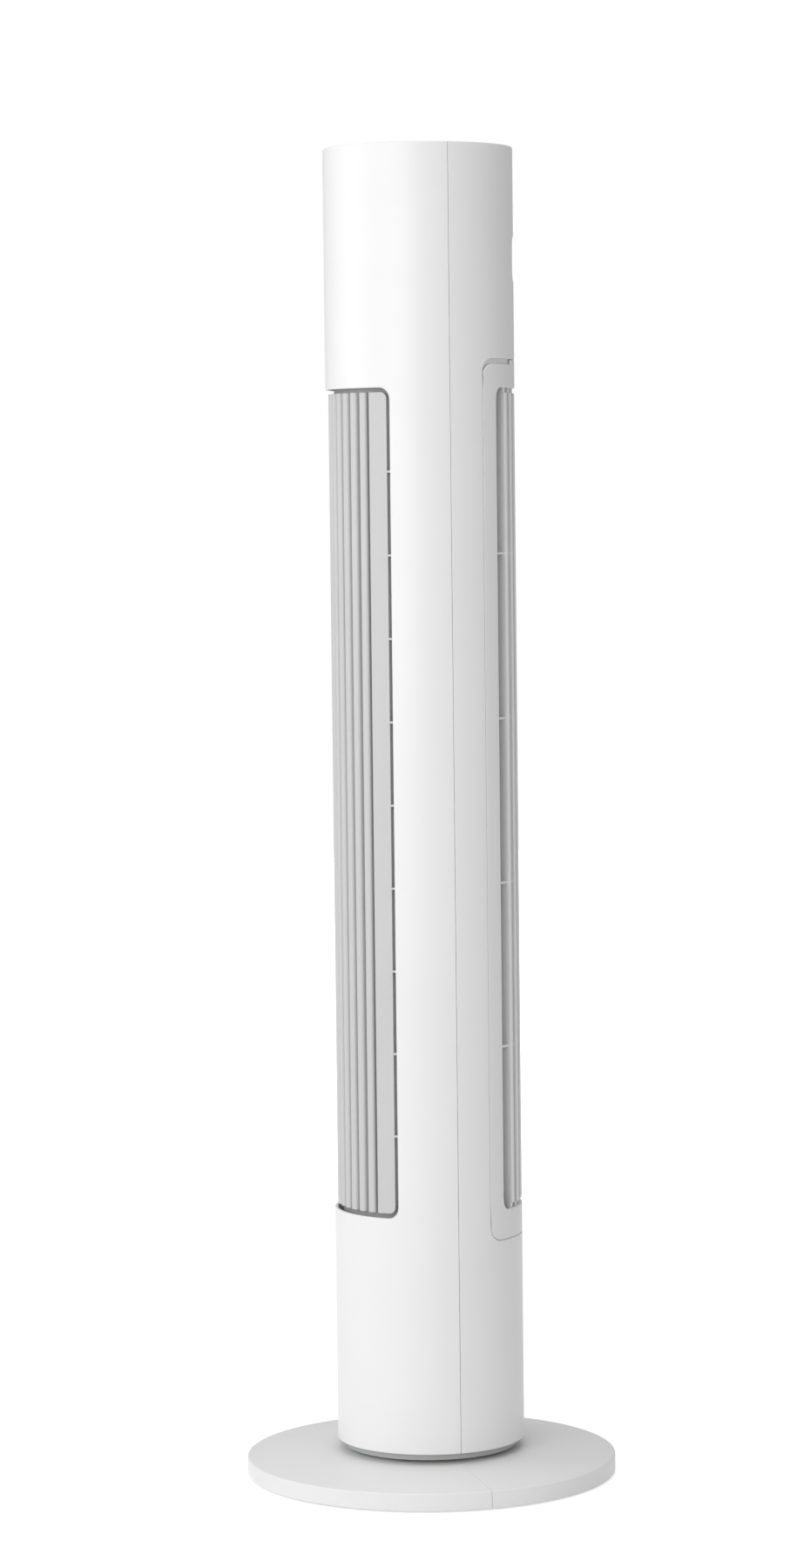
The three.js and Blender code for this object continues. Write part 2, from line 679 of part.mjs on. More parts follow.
// The round wall of the body, with its rounded top and bottom edges.
function bodyWall() {
  const round = (cx, cz, r, from, steps) => corner(cx, cz, r, from, steps).map(p => [p.x, p.y])
  return turned([
    [shellInnerR, bodyBottom],
    ...round(BODY_R - BOTTOM_EDGE_R, bodyBottom + BOTTOM_EDGE_R, BOTTOM_EDGE_R, 270, 1),
    ...round(BODY_R - TOP_EDGE_R, TOTAL_HEIGHT - TOP_EDGE_R, TOP_EDGE_R, 0, 2),
    [shellInnerR, TOTAL_HEIGHT],
  ])
}

const ledge = (z, depth) => tube(shellInnerR - depth, shellInnerR + BITE, z, z + LEDGE_THICK)
const skirtLedge = skirtBottom + LEDGE_THICK + GAP
const panelLedge = panelBottom - GAP - LEDGE_THICK
const floorLedge = ductFloorBottom - GAP - LEDGE_THICK
const ceilingLedge = ductCeilingTop + GAP

const screwHeights = SCREW_ROWS.map(share => outletBottom + share * outletHeight)
const screwPlaces = [-1, 1].flatMap(side => screwHeights.map(z => ({ x: side * postX, z })))

function frontShell() {
  const shallow = [skirtLedge, panelLedge].map(z => ledge(z, LEDGE_DEPTH))
  const deep = [floorLedge, ceilingLedge].map(z => ledge(z, DUCT_LEDGE_DEPTH))
  const shell = join(bodyWall(), ...shallow, ...deep)
  const inside = disc(BODY_R - 1, 0, TOTAL_HEIGHT)
  const posts = screwPlaces.map(({ x, z }) => rodY(FRONT_POST_R, -BODY_R, 0, x, z))
  const holes = screwPlaces.map(({ x, z }) => rodY(SCREW_R + GAP, -POST_REACH, 1, x, z))
  const window = towardsFront(windowOutline(OUTLET_ANGLE, outletBottom, outletTop, OUTLET_CORNER))
  const solid = cut(shell.add(join(...posts).intersect(inside)), window, ...holes)
  return solid.intersect(frontHalf())
}

// The band behind the intake cover that the cover rests on.
function coverSeat() {
  const [from, to] = [180 - SEAT_ANGLE, 180 + SEAT_ANGLE]
  return sector(seatInnerR, shellInnerR + BITE, from, to, coverBottom - SEAT_BELOW, coverTop + SEAT_ABOVE)
}

// The space that the cover itself fills.
function coverSpace() {
  const outline = windowOutline(COVER_ANGLE, coverBottom, coverTop, COVER_CORNER, COVER_TOP_CORNER)
  const outer = towardsRear(grown(outline, COVER_TRAVEL_ROOM))
  return outer.subtract(disc(coverSeatR, coverBottom - FAR, coverTop + FAR))
}

// The way for the air through the seat.
function behindCover() {
  const half = BODY_R * Math.sin(degToRad(INTAKE_ANGLE)) + SEAT_SIDE_MARGIN
  const [z0, z1] = [coverBottom + SEAT_MARGIN, intakeTop + SEAT_HEAD]
  return towardsRear(roundedRect(-half, half, z0, z1, INTAKE_CORNER / 2))
}

// Moves every point of an outline in X and Z away from the outline's middle.
function grown(outline, amount) {
  const middle = outline.reduce((sum, p) => sum.add(p), v2(0, 0)).divideScalar(outline.length)
  return outline.map(p => {
    const away = v2(Math.sign(p.x - middle.x), Math.sign(p.y - middle.y))
    return p.clone().addScaledVector(away, amount)
  })
}

function handleOutline() {
  const [z0, z1] = [handleZ - HANDLE_HEIGHT / 2, handleZ + HANDLE_HEIGHT / 2]
  return roundedRect(-HANDLE_HALF_WIDTH, HANDLE_HALF_WIDTH, z0, z1, HANDLE_CORNER)
}

function rearShell() {
  const ledges = [skirtLedge, panelLedge].map(z => ledge(z, LEDGE_DEPTH))
  const shell = join(bodyWall(), ...ledges, coverSeat())
  const inside = disc(BODY_R - 1, 0, TOTAL_HEIGHT)
  const open = cut(shell, behindCover())
  const posts = screwPlaces.map(({ x, z }) => rodY(REAR_POST_R, 0, postSeatY, x, z))
  const wells = screwPlaces.map(({ x, z }) =>
    rodY(SCREW_HEAD_R + SCREW_CLEARANCE, SCREW_SEAT, FAR, x, z))
  const holes = screwPlaces.map(({ x, z }) =>
    rodY(SCREW_R + SCREW_CLEARANCE, -1, SCREW_SEAT + 1, x, z))
  const withPosts = open.add(join(...posts).intersect(inside))
  const handleHole = towardsRear(handleOutline())
  return cut(withPosts, coverSpace(), handleHole, ...holes, ...wells).intersect(rearHalf())
}

// Where a rear post meets the seat of the cover.
const postSeatY = Math.sqrt((seatInnerR + 1) ** 2 - postX ** 2)

function shellScrew() {
  const seat = SCREW_SEAT + GAP
  const head = rodY(SCREW_HEAD_R, seat, seat + SCREW_HEAD_HEIGHT, 0, 0)
  return head.add(rodY(SCREW_R, SCREW_TIP_ROOM - POST_REACH, seat + BITE, 0, 0))
}

assembly(0, 0,
  part('front_shell', frontShell(), looks.white),
  part('rear_shell', rearShell(), looks.white),
)
screwPlaces.forEach(({ x, z }, i) => {
  const screw = part(`shell_screw_${i + 1}`, shellScrew(), looks.steel)
  screw.position.z = z
  assembly(x, 0, screw)
})

// ---------------------------------------------------------------- outlet grille

// Angles of a middle bar and of so many bars on each side of it.
const barAngles = (count, pitch) => Array.from({ length: 2 * count + 1 }, (_, i) => (i - count) * pitch)

// An upright bar on a radius: broad at its outer face, with bevelled edges, and narrow at its back.
function upright({ backR, faceR, nose, tail, angle, z0, z1 }) {
  const half = nose / 2
  const outline = [
    v2(-half + SLAT_EDGE, -faceR), v2(half - SLAT_EDGE, -faceR), v2(half, -faceR + SLAT_EDGE),
    v2(tail / 2, -backR), v2(-tail / 2, -backR), v2(-half, -faceR + SLAT_EDGE),
  ]
  return prism(outline, z0, z1).rotate([0, 0, angle])
}

// Heights that part a span into equal steps of about the given pitch.
function spaced(z0, z1, pitch) {
  const count = Math.max(1, Math.round((z1 - z0) / pitch))
  return Array.from({ length: count - 1 }, (_, i) => z0 + (z1 - z0) * (i + 1) / count)
}

// A flat curved bar whose corners lie only at the given angles.
function angledSector(r0, r1, angles, z0, z1) {
  return prism([...angles.map(a => polar(r1, a)), ...[...angles].reverse().map(a => polar(r0, a))], z0, z1)
}

function outletGrille() {
  const faceR = BODY_R - GRILLE_INSET
  const faceBackR = faceR - GRILLE_FACE_THICK
  const railR = faceBackR - BACK_FRAME_SETBACK
  const railBackR = railR - BACK_FRAME_DEPTH
  const panelAngle = OUTLET_ANGLE - radToDeg(GROOVE / BODY_R)
  const [z0, z1] = [outletBottom + GROOVE, outletTop - GROOVE]
  const bands = tube(faceBackR - BITE, faceR, z0 - 1, z1 + 1)
    .intersect(towardsFront(windowOutline(panelAngle, z0, z1, OUTLET_CORNER - GROOVE)))
    .subtract(towardsFront(windowOutline(FLANGE_ANGLE, 0, TOTAL_HEIGHT, 1)))
  const backAngle = OUTLET_ANGLE + radToDeg(BACK_FRAME_MARGIN / BODY_R)
  const [b0, b1] = [outletBottom - BACK_FRAME_MARGIN, outletTop + BACK_FRAME_MARGIN]
  const openingZ = [z0 + GRILLE_BAR, z1 - GRILLE_BAR]
  const rail = sector(railBackR, railR, -backAngle, backAngle, b0, b1)
    .subtract(towardsFront(windowOutline(RAIL_ANGLE, ...openingZ, GRILLE_OPENING_CORNER)))
  const seatR = shellInnerR - GRILLE_SEAT_GAP
  const wallAngle = radToDeg(FLANGE_WALL / BODY_R)
  const sides = [-1, 1].flatMap(side => [
    sector(railR - BITE, seatR, side * (backAngle - GRILLE_SEAT_ANGLE), side * backAngle, b0, b1),
    sector(railR - BITE, faceBackR, side * (panelAngle - wallAngle), side * panelAngle,
      z0 + OUTLET_CORNER, z1 - OUTLET_CORNER),
  ])
  const slats = barAngles(SLAT_SIDE_COUNT, SLAT_PITCH).map(angle => upright({
    backR: faceR - SLAT_DEPTH, faceR, nose: SLAT_NOSE, tail: SLAT_TAIL, angle, z0, z1,
  }))
  const ribEnd = RAIL_ANGLE + 2
  const across = [-ribEnd, ...barAngles(SLAT_SIDE_COUNT, SLAT_PITCH), ribEnd]
  const ribs = spaced(outletBottom, outletTop, RIB_PITCH).map(z =>
    angledSector(railBackR - RIB_DEPTH, railBackR + BITE, across, z - RIB_THICK / 2, z + RIB_THICK / 2))
  return join(bands, rail, ...sides, ...slats, ...ribs, ...grooveClips(panelAngle, faceBackR, faceR))
}

// Small clips across the groove, at even heights on both sides of the grille.
function grooveClips(panelAngle, faceBackR, faceR) {
  const clipR = faceR + CLIP_PROUD
  const windowX = BODY_R * Math.sin(degToRad(OUTLET_ANGLE))
  const reach = radToDeg(Math.asin((windowX - GAP) / clipR))
  const clip = (side, z) => sector(faceBackR - BITE, clipR, side * (panelAngle - 1), side * reach,
    z - RIB_THICK / 2, z + RIB_THICK / 2)
  return spaced(outletBottom, outletTop, CLIP_PITCH).flatMap(z => [clip(-1, z), clip(1, z)])
}

assembly(0, 0, part('outlet_grille', outletGrille(), looks.softWhite))

// ---------------------------------------------------------------- intake cover

// The curved sheet of the cover. Its middle reaches up to the shell, and on both sides of it
// the top edge stays lower and leaves a nail slot.
function coverSheet() {
  const sheet = (half, top, topCorner) => tube(coverInnerR, BODY_R, coverBottom, coverTop)
    .intersect(towardsRear(windowOutline(half, coverBottom, top, COVER_CORNER, topCorner)))
    .intersect(sector(1, BODY_R + 1, 180 - half, 180 + half, coverBottom, top))
  return sheet(COVER_ANGLE, coverSlotBottom, COVER_TOP_CORNER).add(sheet(COVER_SLOT_ANGLE, coverTop, 1))
}

function intakeBars() {
  const faceR = BODY_R - INTAKE_BAR_INSET
  const stepR = faceR - INTAKE_STEP_DEPTH
  const [z0, z1] = [intakeBottom - INTAKE_BAR_LAP, intakeTop + INTAKE_BAR_LAP]
  const bars = barAngles(INTAKE_SIDE_COUNT, INTAKE_PITCH).map(angle => upright({
    backR: faceR - INTAKE_BAR_DEPTH, faceR, nose: INTAKE_BAR_NOSE, tail: INTAKE_BAR_TAIL,
    angle: 180 + angle, z0, z1,
  }))
  const steps = [
    tube(stepR, BODY_R + 1, z0 - 1, intakeBottom + INTAKE_STEP_HEIGHT),
    tube(stepR, BODY_R + 1, intakeTop - INTAKE_STEP_HEIGHT, z1 + 1),
  ]
  return cut(join(...bars), ...steps)
}

function rearCover() {
  const opening = towardsRear(windowOutline(INTAKE_ANGLE, intakeBottom, intakeTop, INTAKE_CORNER))
  const ribR = coverInnerR + BITE
  const ribAngle = radToDeg(Math.asin((BODY_R * Math.sin(degToRad(INTAKE_ANGLE)) + 1) / ribR))
  const across = [-ribAngle, ...barAngles(INTAKE_SIDE_COUNT, INTAKE_PITCH), ribAngle]
    .map(angle => 180 + angle)
  const ribs = spaced(intakeBottom, intakeTop, RIB_PITCH).map(z =>
    angledSector(ribR - INTAKE_RIB_DEPTH, ribR, across, z - RIB_THICK / 2, z + RIB_THICK / 2))
  return join(cut(coverSheet(), opening), intakeBars(), ...ribs)
}

assembly(0, 0, part('rear_cover', rearCover(), looks.white))

// ---------------------------------------------------------------- carry handle

function handleCup() {
  const z0 = handleZ - HANDLE_HEIGHT / 2
  const z1 = handleZ + HANDLE_HEIGHT / 2
  const frontY = BODY_R
  const backY = frontY - HANDLE_DEPTH
  const lipY = shellInnerR - HANDLE_LIP
  const half = HANDLE_HALF_WIDTH
  const w = HANDLE_WALL
  const top = z1 + HANDLE_HOOK
  const outside = roundedRect(-half - w, half + w, z0 - w, top + w, HANDLE_CORNER)
  const outer = prismY(outside, backY - w, frontY)
  const mouth = prismY(handleOutline(), lipY - 2, frontY + 1)
  const cavity = prismY(roundedRect(-half, half, z0, top, HANDLE_CORNER - w), backY, lipY)
  const shell = outer.intersect(disc(shellInnerR - GAP, z0 - FAR, top + FAR))
  return cut(shell, mouth, cavity)
}

assembly(0, 0, part('handle_cup', handleCup(), looks.white))

// ---------------------------------------------------------------- air path

function ductPlate(z0, z1, holeR) {
  return cut(disc(ductR, z0, z1), disc(holeR, z0 - 1, z1 + 1, 0, IMPELLER_OFFSET))
}

// A thin upright wall along a line of points, with square ends.
function wallAlong(points, thick, z0, z1) {
  const normals = points.map((p, i) => {
    const before = points[Math.max(0, i - 1)]
    const after = points[Math.min(points.length - 1, i + 1)]
    const along = after.clone().sub(before).normalize()
    return v2(along.y, -along.x)
  })
  const outer = points.map((p, i) => p.clone().addScaledVector(normals[i], thick))
  return prism([...points, ...outer.reverse()], z0, z1)
}

// A point at radius r from the impeller's axis, turned from the rear (+Y) towards +X.
const roundImpeller = (r, angle) => polar(r, 180 - angle).add(v2(0, IMPELLER_OFFSET))

const ductEdge = side => polar(ductEdgeR, side * OUTLET_ANGLE)
const ductSideX = postX - REAR_POST_R - DUCT_WALL - DUCT_POST_ROOM
const ductRange = [ductFloorTop + GAP, ductCeilingBottom - GAP]

// The long curved wall that leads the air from the impeller to one edge of the outlet.
function airGuide() {
  const nearR = impellerR + DUCT_CLEARANCE
  const lip = roundImpeller(nearR, GUIDE_LIP_ANGLE)
  const sweep = new THREE.SplineCurve([
    lip,
    roundImpeller(nearR + BITE, GUIDE_TURN_ANGLE),
    v2(ductSideX - DUCT_WALL, IMPELLER_OFFSET),
    v2(ductSideX, -IMPELLER_OFFSET),
    v2(ductSideX - DUCT_POST_ROOM, ductEdge(1).y + GUIDE_STRAIGHT),
    ductEdge(1),
  ]).getPoints(GUIDE_STEPS)
  const outerEnd = polar(ductEdgeR, 180 - GUIDE_END_ANGLE)
  const back = wallAlong([outerEnd, lip.clone().add(v2(0, BITE))], -DUCT_WALL, ...ductRange)
  return wallAlong(sweep.reverse(), DUCT_WALL, ...ductRange).add(back)
}

// The blunt nose on the other side, which parts the outgoing air from the intake.
function airTongue() {
  const nose = roundImpeller(impellerR + DUCT_CLEARANCE, -TONGUE_ANGLE)
  const toOutlet = wallAlong([nose, ductEdge(-1)], -DUCT_WALL, ...ductRange)
  const toSide = wallAlong([nose, v2(-ductSideX - DUCT_POST_ROOM, -DUCT_WALL)], DUCT_WALL, ...ductRange)
  return join(toOutlet, toSide, disc(TONGUE_NOSE_R, ...ductRange, nose.x - DUCT_POST_ROOM, nose.y))
}

function bladeOutline(i) {
  const start = 360 * i / BLADE_COUNT
  const innerR = impellerR - BLADE_CHORD
  const line = [0, 1].map(t => polar(innerR + BLADE_CHORD * t, start + BLADE_SWEEP * t))
  const half = radToDeg(BLADE_THICK / 2 / impellerR)
  const shifted = side => line.map(p => p.clone().rotateAround(v2(0, 0), degToRad(side * half)))
  return [...shifted(-1), ...shifted(1).reverse()]
}

function impeller() {
  const count = Math.max(1, Math.round((impellerTop - impellerBottom) / DISC_PITCH))
  const pitch = (impellerTop - impellerBottom - DISC_THICK) / count
  const outer = circle(impellerR + DISC_MARGIN, 0, 0, BLADE_COUNT)
  const inner = circle(impellerR - BLADE_CHORD - DISC_MARGIN, 0, 0, BLADE_COUNT)
  const rings = Array.from({ length: count - 1 }, (_, i) => {
    const z = impellerBottom + pitch * (i + 1)
    return cut(prism(outer, z, z + DISC_THICK), prism(inner, z - 1, z + DISC_THICK + 1))
  })
  const ends = [impellerBottom, impellerTop - DISC_THICK].map(z => prism(outer, z, z + DISC_THICK))
  const blades = Array.from({ length: BLADE_COUNT }, (_, i) =>
    prism(bladeOutline(i), impellerBottom + BITE, impellerTop - BITE))
  const hubs = [
    disc(HUB_R, impellerBottom, impellerBottom + HUB_HEIGHT),
    disc(HUB_R, impellerTop - HUB_HEIGHT, impellerTop),
  ]
  const bores = [
    disc(SHAFT_R + GAP, impellerBottom - 1, impellerBottom + HUB_HEIGHT - HUB_FLOOR),
    disc(TOP_PIN_R + GAP, impellerTop - HUB_HEIGHT + HUB_FLOOR, impellerTop + 1),
  ]
  return cut(join(...ends, ...rings, ...blades, ...hubs), ...bores)
}

function topBearing() {
  const flangeBottom = ductCeilingTop + GAP
  const flangeTop = flangeBottom + BEARING_FLANGE_THICK
  const bush = disc(BEARING_R, ductCeilingBottom - BEARING_DROP, flangeBottom + BITE)
    .add(disc(BEARING_FLANGE_R, flangeBottom, flangeTop))
  return cut(bush, disc(TOP_PIN_R + GAP, 0, flangeTop + 1))
}

function topPin() {
  return disc(TOP_PIN_R, impellerTop - HUB_HEIGHT + HUB_FLOOR + GAP, ductCeilingTop + 1)
}

assembly(0, 0,
  part('duct_floor', ductPlate(ductFloorBottom, ductFloorTop, SHAFT_HOLE_R), looks.softWhite),
  part('duct_ceiling', ductPlate(ductCeilingBottom, ductCeilingTop, BEARING_R + GAP), looks.softWhite),
  part('air_guide', airGuide(), looks.softWhite),
  part('air_tongue', airTongue(), looks.softWhite),
)
assembly(0, IMPELLER_OFFSET,
  part('impeller', impeller(), looks.grey),
  part('top_pin', topPin(), looks.steel),
  part('top_bearing', topBearing(), looks.rubber),
)

// ---------------------------------------------------------------- fan motor

function fanMotor() {
  const bossTop = motorTop + MOTOR_BOSS_HEIGHT
  const can = disc(MOTOR_R, motorBottom, motorTop)
  const boss = disc(MOTOR_BOSS_R, motorTop - BITE, bossTop)
  return cut(can.add(boss), disc(SHAFT_R + GAP, shaftBottom - GAP, bossTop + 1))
}

function motorBracket() {
  return tube(MOTOR_BOSS_R + 2 * GAP, MOTOR_PLATE_R, motorPlateBottom, motorPlateTop)
}

function motorShaft() {
  return disc(SHAFT_R, shaftBottom, impellerBottom + HUB_HEIGHT - HUB_FLOOR - GAP)
}

assembly(0, IMPELLER_OFFSET,
  part('fan_motor', fanMotor(), looks.dark),
  part('motor_bracket', motorBracket(), looks.steel),
  part('motor_shaft', motorShaft(), looks.steel),
)
ringPlaces(DAMPER_COUNT, DAMPER_CIRCLE_R, 0).forEach(([x, y], i) => {
  const damper = disc(DAMPER_R, motorPlateTop + GAP, ductFloorBottom - GAP)
  assembly(x, y + IMPELLER_OFFSET, part(`motor_damper_${i + 1}`, damper, looks.rubber))
})

// ---------------------------------------------------------------- control panel and boards

const buttonNames = ['timer', 'mode', 'power', 'speed', 'swing']
const buttonPlaces = buttonNames.map((name, i) => {
  const place = polar(BODY_R - BUTTON_INSET, (i - (buttonNames.length - 1) / 2) * BUTTON_PITCH)
  return { name, x: place.x, y: place.y }
})
const boardPosts = ringPlaces(BOARD_POST_COUNT, BODY_R - BOARD_POST_INSET, BOARD_POST_START)

function topPanel() {
  const posts = boardPosts.map(([x, y]) => disc(BOARD_POST_R, boardTop + GAP, panelTop - 1, x, y))
  const holes = buttonPlaces.map(({ x, y }) =>
    disc(BUTTON_R + BUTTON_CLEARANCE, panelBottom - 1, panelTop + 1, x, y))
  const lensHole = disc(LENS_R + GAP, panelBottom - 1, panelTop + 1)
  return cut(join(disc(panelR, panelBottom, panelTop), ...posts), lensHole, ...holes)
}

function button() {
  const flange = disc(BUTTON_R + BUTTON_FLANGE, buttonFlangeTop - BUTTON_FLANGE_THICK, buttonFlangeTop)
  return join(disc(BUTTON_R, buttonFlangeTop - 1, buttonTop), flange,
    disc(BUTTON_STEM_R, buttonStemBottom, buttonFlangeTop - BITE))
}

function displayLens() {
  const flangeTop = panelBottom - GAP
  const flangeBottom = flangeTop - LENS_FLANGE_THICK
  return disc(LENS_R, flangeBottom, panelTop).add(disc(LENS_R + LENS_FLANGE, flangeBottom, flangeTop))
}

function controlBoard() {
  const board = disc(BODY_R - BOARD_INSET, boardTop - BOARD_THICK, boardTop)
  const half = SWITCH_SIZE / 2
  const switches = buttonPlaces.flatMap(({ x, y }) => [
    box(x - half, x + half, y - half, y + half, boardTop - BITE, boardTop + SWITCH_HEIGHT),
    disc(SWITCH_PLUNGER_R, boardTop + 1, plungerTop, x, y),
  ])
  const displayTop = panelBottom - LENS_FLANGE_THICK - 2 * GAP
  const [halfWidth, halfDepth] = [DISPLAY.width / 2, DISPLAY.depth / 2]
  const display = box(-halfWidth, halfWidth, -halfDepth, halfDepth, boardTop - BITE, displayTop)
  return join(board, ...switches, display)
}

function powerBoard() {
  const { width, height, thick, y } = POWER_BOARD
  const z0 = ceilingLedge
  const board = box(-width / 2, width / 2, y, y + thick, z0, z0 + height)
  const blocks = [POWER_BLOCK, POWER_RELAY].map(b =>
    box(b.x - b.width / 2, b.x + b.width / 2, y - b.depth, y + BITE, z0 + b.lift, z0 + b.lift + b.height))
  const { width: footWidth, depth, height: footHeight } = POWER_FOOT
  const stand = box(-footWidth / 2, footWidth / 2, y - depth / 2, y + depth / 2, z0, z0 + footHeight)
  return join(board, ...blocks, stand)
}

assembly(0, 0,
  part('top_panel', topPanel(), looks.white),
  part('display_lens', displayLens(), looks.lens),
  part('control_board', controlBoard(), looks.board),
  part('power_board', powerBoard(), looks.board),
)
buttonPlaces.forEach(({ name, x, y }) => assembly(x, y, part(`${name}_button`, button(), looks.softWhite)))

export default group
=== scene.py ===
# %% [markdown]
# A tower fan, dressed for its portrait
#
# The real thing is a tall, slim fan: a round moulded body that swings on a flat disc base,
# with an upright air outlet at the front and a barred intake cover at the rear.
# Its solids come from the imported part. This notebook gives them smooth, softly edged skins
# and finishes, one piece at a time, and never moves a solid of the part.

import json
import math

import bmesh
import bpy
from mathutils import Matrix, Vector

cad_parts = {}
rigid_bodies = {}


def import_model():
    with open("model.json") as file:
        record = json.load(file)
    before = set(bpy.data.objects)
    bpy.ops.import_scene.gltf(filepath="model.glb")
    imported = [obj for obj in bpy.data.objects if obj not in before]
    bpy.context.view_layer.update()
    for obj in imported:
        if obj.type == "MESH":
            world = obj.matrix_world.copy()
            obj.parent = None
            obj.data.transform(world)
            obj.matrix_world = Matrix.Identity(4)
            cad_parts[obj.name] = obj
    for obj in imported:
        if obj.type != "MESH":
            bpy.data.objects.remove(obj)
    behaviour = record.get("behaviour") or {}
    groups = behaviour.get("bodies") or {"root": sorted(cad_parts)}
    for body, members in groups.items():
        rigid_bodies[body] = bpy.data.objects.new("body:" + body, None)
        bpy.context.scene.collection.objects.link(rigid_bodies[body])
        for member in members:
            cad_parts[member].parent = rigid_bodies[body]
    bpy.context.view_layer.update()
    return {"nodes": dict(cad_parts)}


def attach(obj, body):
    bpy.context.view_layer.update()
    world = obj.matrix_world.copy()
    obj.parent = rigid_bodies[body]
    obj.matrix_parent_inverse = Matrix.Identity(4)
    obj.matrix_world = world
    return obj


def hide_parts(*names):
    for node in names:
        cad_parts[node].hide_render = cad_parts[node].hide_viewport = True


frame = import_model()
MM = 0.001

# %% [markdown]
# The camera comes first, because every later choice is judged through it.
# The picture is 915 by 1800 pixels. It was taken from about 3.5 m away with a long lens,
# a little below the top of the body, from the side and slightly from the front.
# The camera could be aimed with a Track To constraint. It is set from three small turns instead
# (yaw, pitch and roll), so that its frame needs no shift.

# %% Camera
CAMERA_AZIMUTH = math.radians(71.6)      # from the front of the fan, towards +X
CAMERA_DISTANCE = 3.5418                 # metres, like the height
CAMERA_HEIGHT = 0.81004
YAW, PITCH, ROLL = -0.0060, 0.0657, -0.0113    # radians
SENSOR_WIDTH, LENS_LENGTH = 36, 98.19    # mm

forward = Vector((math.sin(YAW) * math.cos(PITCH), math.cos(YAW) * math.cos(PITCH), -math.sin(PITCH)))
level = Vector((math.cos(YAW), -math.sin(YAW), 0))
upward = level.cross(forward)
right = math.cos(ROLL) * level + math.sin(ROLL) * upward
up = math.cos(ROLL) * upward - math.sin(ROLL) * level
turn = Matrix.Rotation(CAMERA_AZIMUTH, 4, "Z")
axes = Matrix((right, up, -forward)).transposed().to_4x4()

camera = bpy.data.objects.new("camera", bpy.data.cameras.new("camera"))
camera.data.sensor_width = SENSOR_WIDTH
camera.data.lens = LENS_LENGTH
camera.data.clip_end = 50
camera.matrix_world = turn @ Matrix.Translation((0, -CAMERA_DISTANCE, CAMERA_HEIGHT)) @ axes
bpy.context.scene.collection.objects.link(camera)
bpy.context.scene.camera = camera
print("camera at", tuple(round(v, 3) for v in camera.matrix_world.translation))

# %% [markdown]
# Materials are small node trees. One function adds a node, sets it and links it, and one more
# turns an sRGB hex colour to the linear numbers that the shader wants.

# %% Helpers for materials
def linear(hex_colour):
    """Linear RGBA of an sRGB hex colour such as "#f4f4f2"."""
    parts = [int(hex_colour[i:i + 2], 16) / 255 for i in (1, 3, 5)]
    return [c / 12.92 if c <= 0.04045 else ((c + 0.055) / 1.055) ** 2.4 for c in parts] + [1]


def node(tree, kind, settings=None, **inputs):
    """Adds a node. A setting is a property, and an input is a value or another node's output."""
    made = tree.nodes.new(kind)
    for name, value in (settings or {}).items():
        setattr(made, name, value)
    for name, value in inputs.items():
        socket = made.inputs[int(name[1:])] if name[1:].isdigit() else made.inputs[name.replace("_", " ")]
        if isinstance(value, bpy.types.NodeSocket):
            tree.links.new(value, socket)
        else:
            socket.default_value = value
    return made


def new_material(name):
    material = bpy.data.materials.new(name)
    material.use_nodes = True
    material.node_tree.nodes.clear()
    return material, material.node_tree


def per_metre(millimetres):
    """Noise or wave scale whose pattern repeats about every so many millimetres."""
    return 1000 / millimetres


print("the grey #808080 is", round(linear("#808080")[0], 3), "in linear light")

# %% [markdown]
# Most of the fan is ABS, the plastic of household appliances: moulded in a polished steel tool
# that was lightly spark-eroded, so it is satin rather than glossy. The eye sees a white with a
# soft sheen, a very fine grain, and a trace of unevenness where the plastic flowed and cooled.
# A spark-eroded grain is about 0.05 mm, too fine for any picture of the whole fan,
# so it is drawn at about 0.6 mm and kept very shallow. It could be true relief on the mesh.
# A bump does as well, because the grain only has to break up the light.

# %% Moulded plastics
def moulded(name, colour, shade, roughness, grain_mm=0.6, grain_depth=0.02, flow_mm=70, ior=1.53):
    """Satin moulded plastic: a fine grain, and slow drifts of tone and of gloss."""
    material, tree = new_material(name)
    place = node(tree, "ShaderNodeTexCoord").outputs["Object"]
    flow = node(tree, "ShaderNodeTexNoise", Vector=place, Scale=per_metre(flow_mm), Detail=3.0, Roughness=0.5)
    grain = node(tree, "ShaderNodeTexNoise", Vector=place, Scale=per_metre(grain_mm), Detail=1.0)
    tone = node(tree, "ShaderNodeMix", {"data_type": "RGBA"}, _0=flow.outputs["Fac"],
                _6=linear(colour), _7=linear(shade))
    gloss = node(tree, "ShaderNodeMapRange", Value=flow.outputs["Fac"],
                 To_Min=roughness - 0.04, To_Max=roughness + 0.04)
    bump = node(tree, "ShaderNodeBump", Strength=0.35, Distance=grain_depth * MM, Height=grain.outputs["Fac"])
    surface = node(tree, "ShaderNodeBsdfPrincipled", Base_Color=tone.outputs[2],
                   Roughness=gloss.outputs["Result"], Normal=bump.outputs["Normal"])
    surface.inputs["IOR"].default_value = ior
    node(tree, "ShaderNodeOutputMaterial", Surface=surface.outputs["BSDF"])
    return material


abs_white = moulded("abs_white_satin", "#f5f5f5", "#f1f1f1", 0.42)
abs_cover = moulded("abs_cover_satin", "#ededed", "#e9e9e9", 0.46)
abs_rear = moulded("abs_rear_satin", "#f1f1f1", "#ededed", 0.44)
abs_base = moulded("abs_base_satin", "#f2f2f2", "#eeeeee", 0.44)
abs_grille = moulded("abs_grille_pale_grey", "#cfcfcf", "#cacaca", 0.5)
# The rail's darker grey is painted shade, which darkens the groove round the outlet.
abs_rail_painted_shade = moulded("abs_rail_painted_shade_grey", "#a8a8a8", "#a2a2a2", 0.55)
abs_inner = moulded("abs_inner_pale", "#f0f0ef", "#ececeb", 0.55)
abs_button = moulded("abs_button_white", "#e9eaea", "#e4e5e5", 0.34, grain_depth=0.01)
pp_deck = moulded("polypropylene_grey", "#bcbdbd", "#b5b6b6", 0.5, ior=1.49)
nylon_rotor = moulded("glass_filled_nylon_grey", "#c4c5c6", "#bbbcbe", 0.55, grain_mm=1.2, grain_depth=0.04)
pbt_black = moulded("pbt_black", "#232426", "#1d1e20", 0.45)
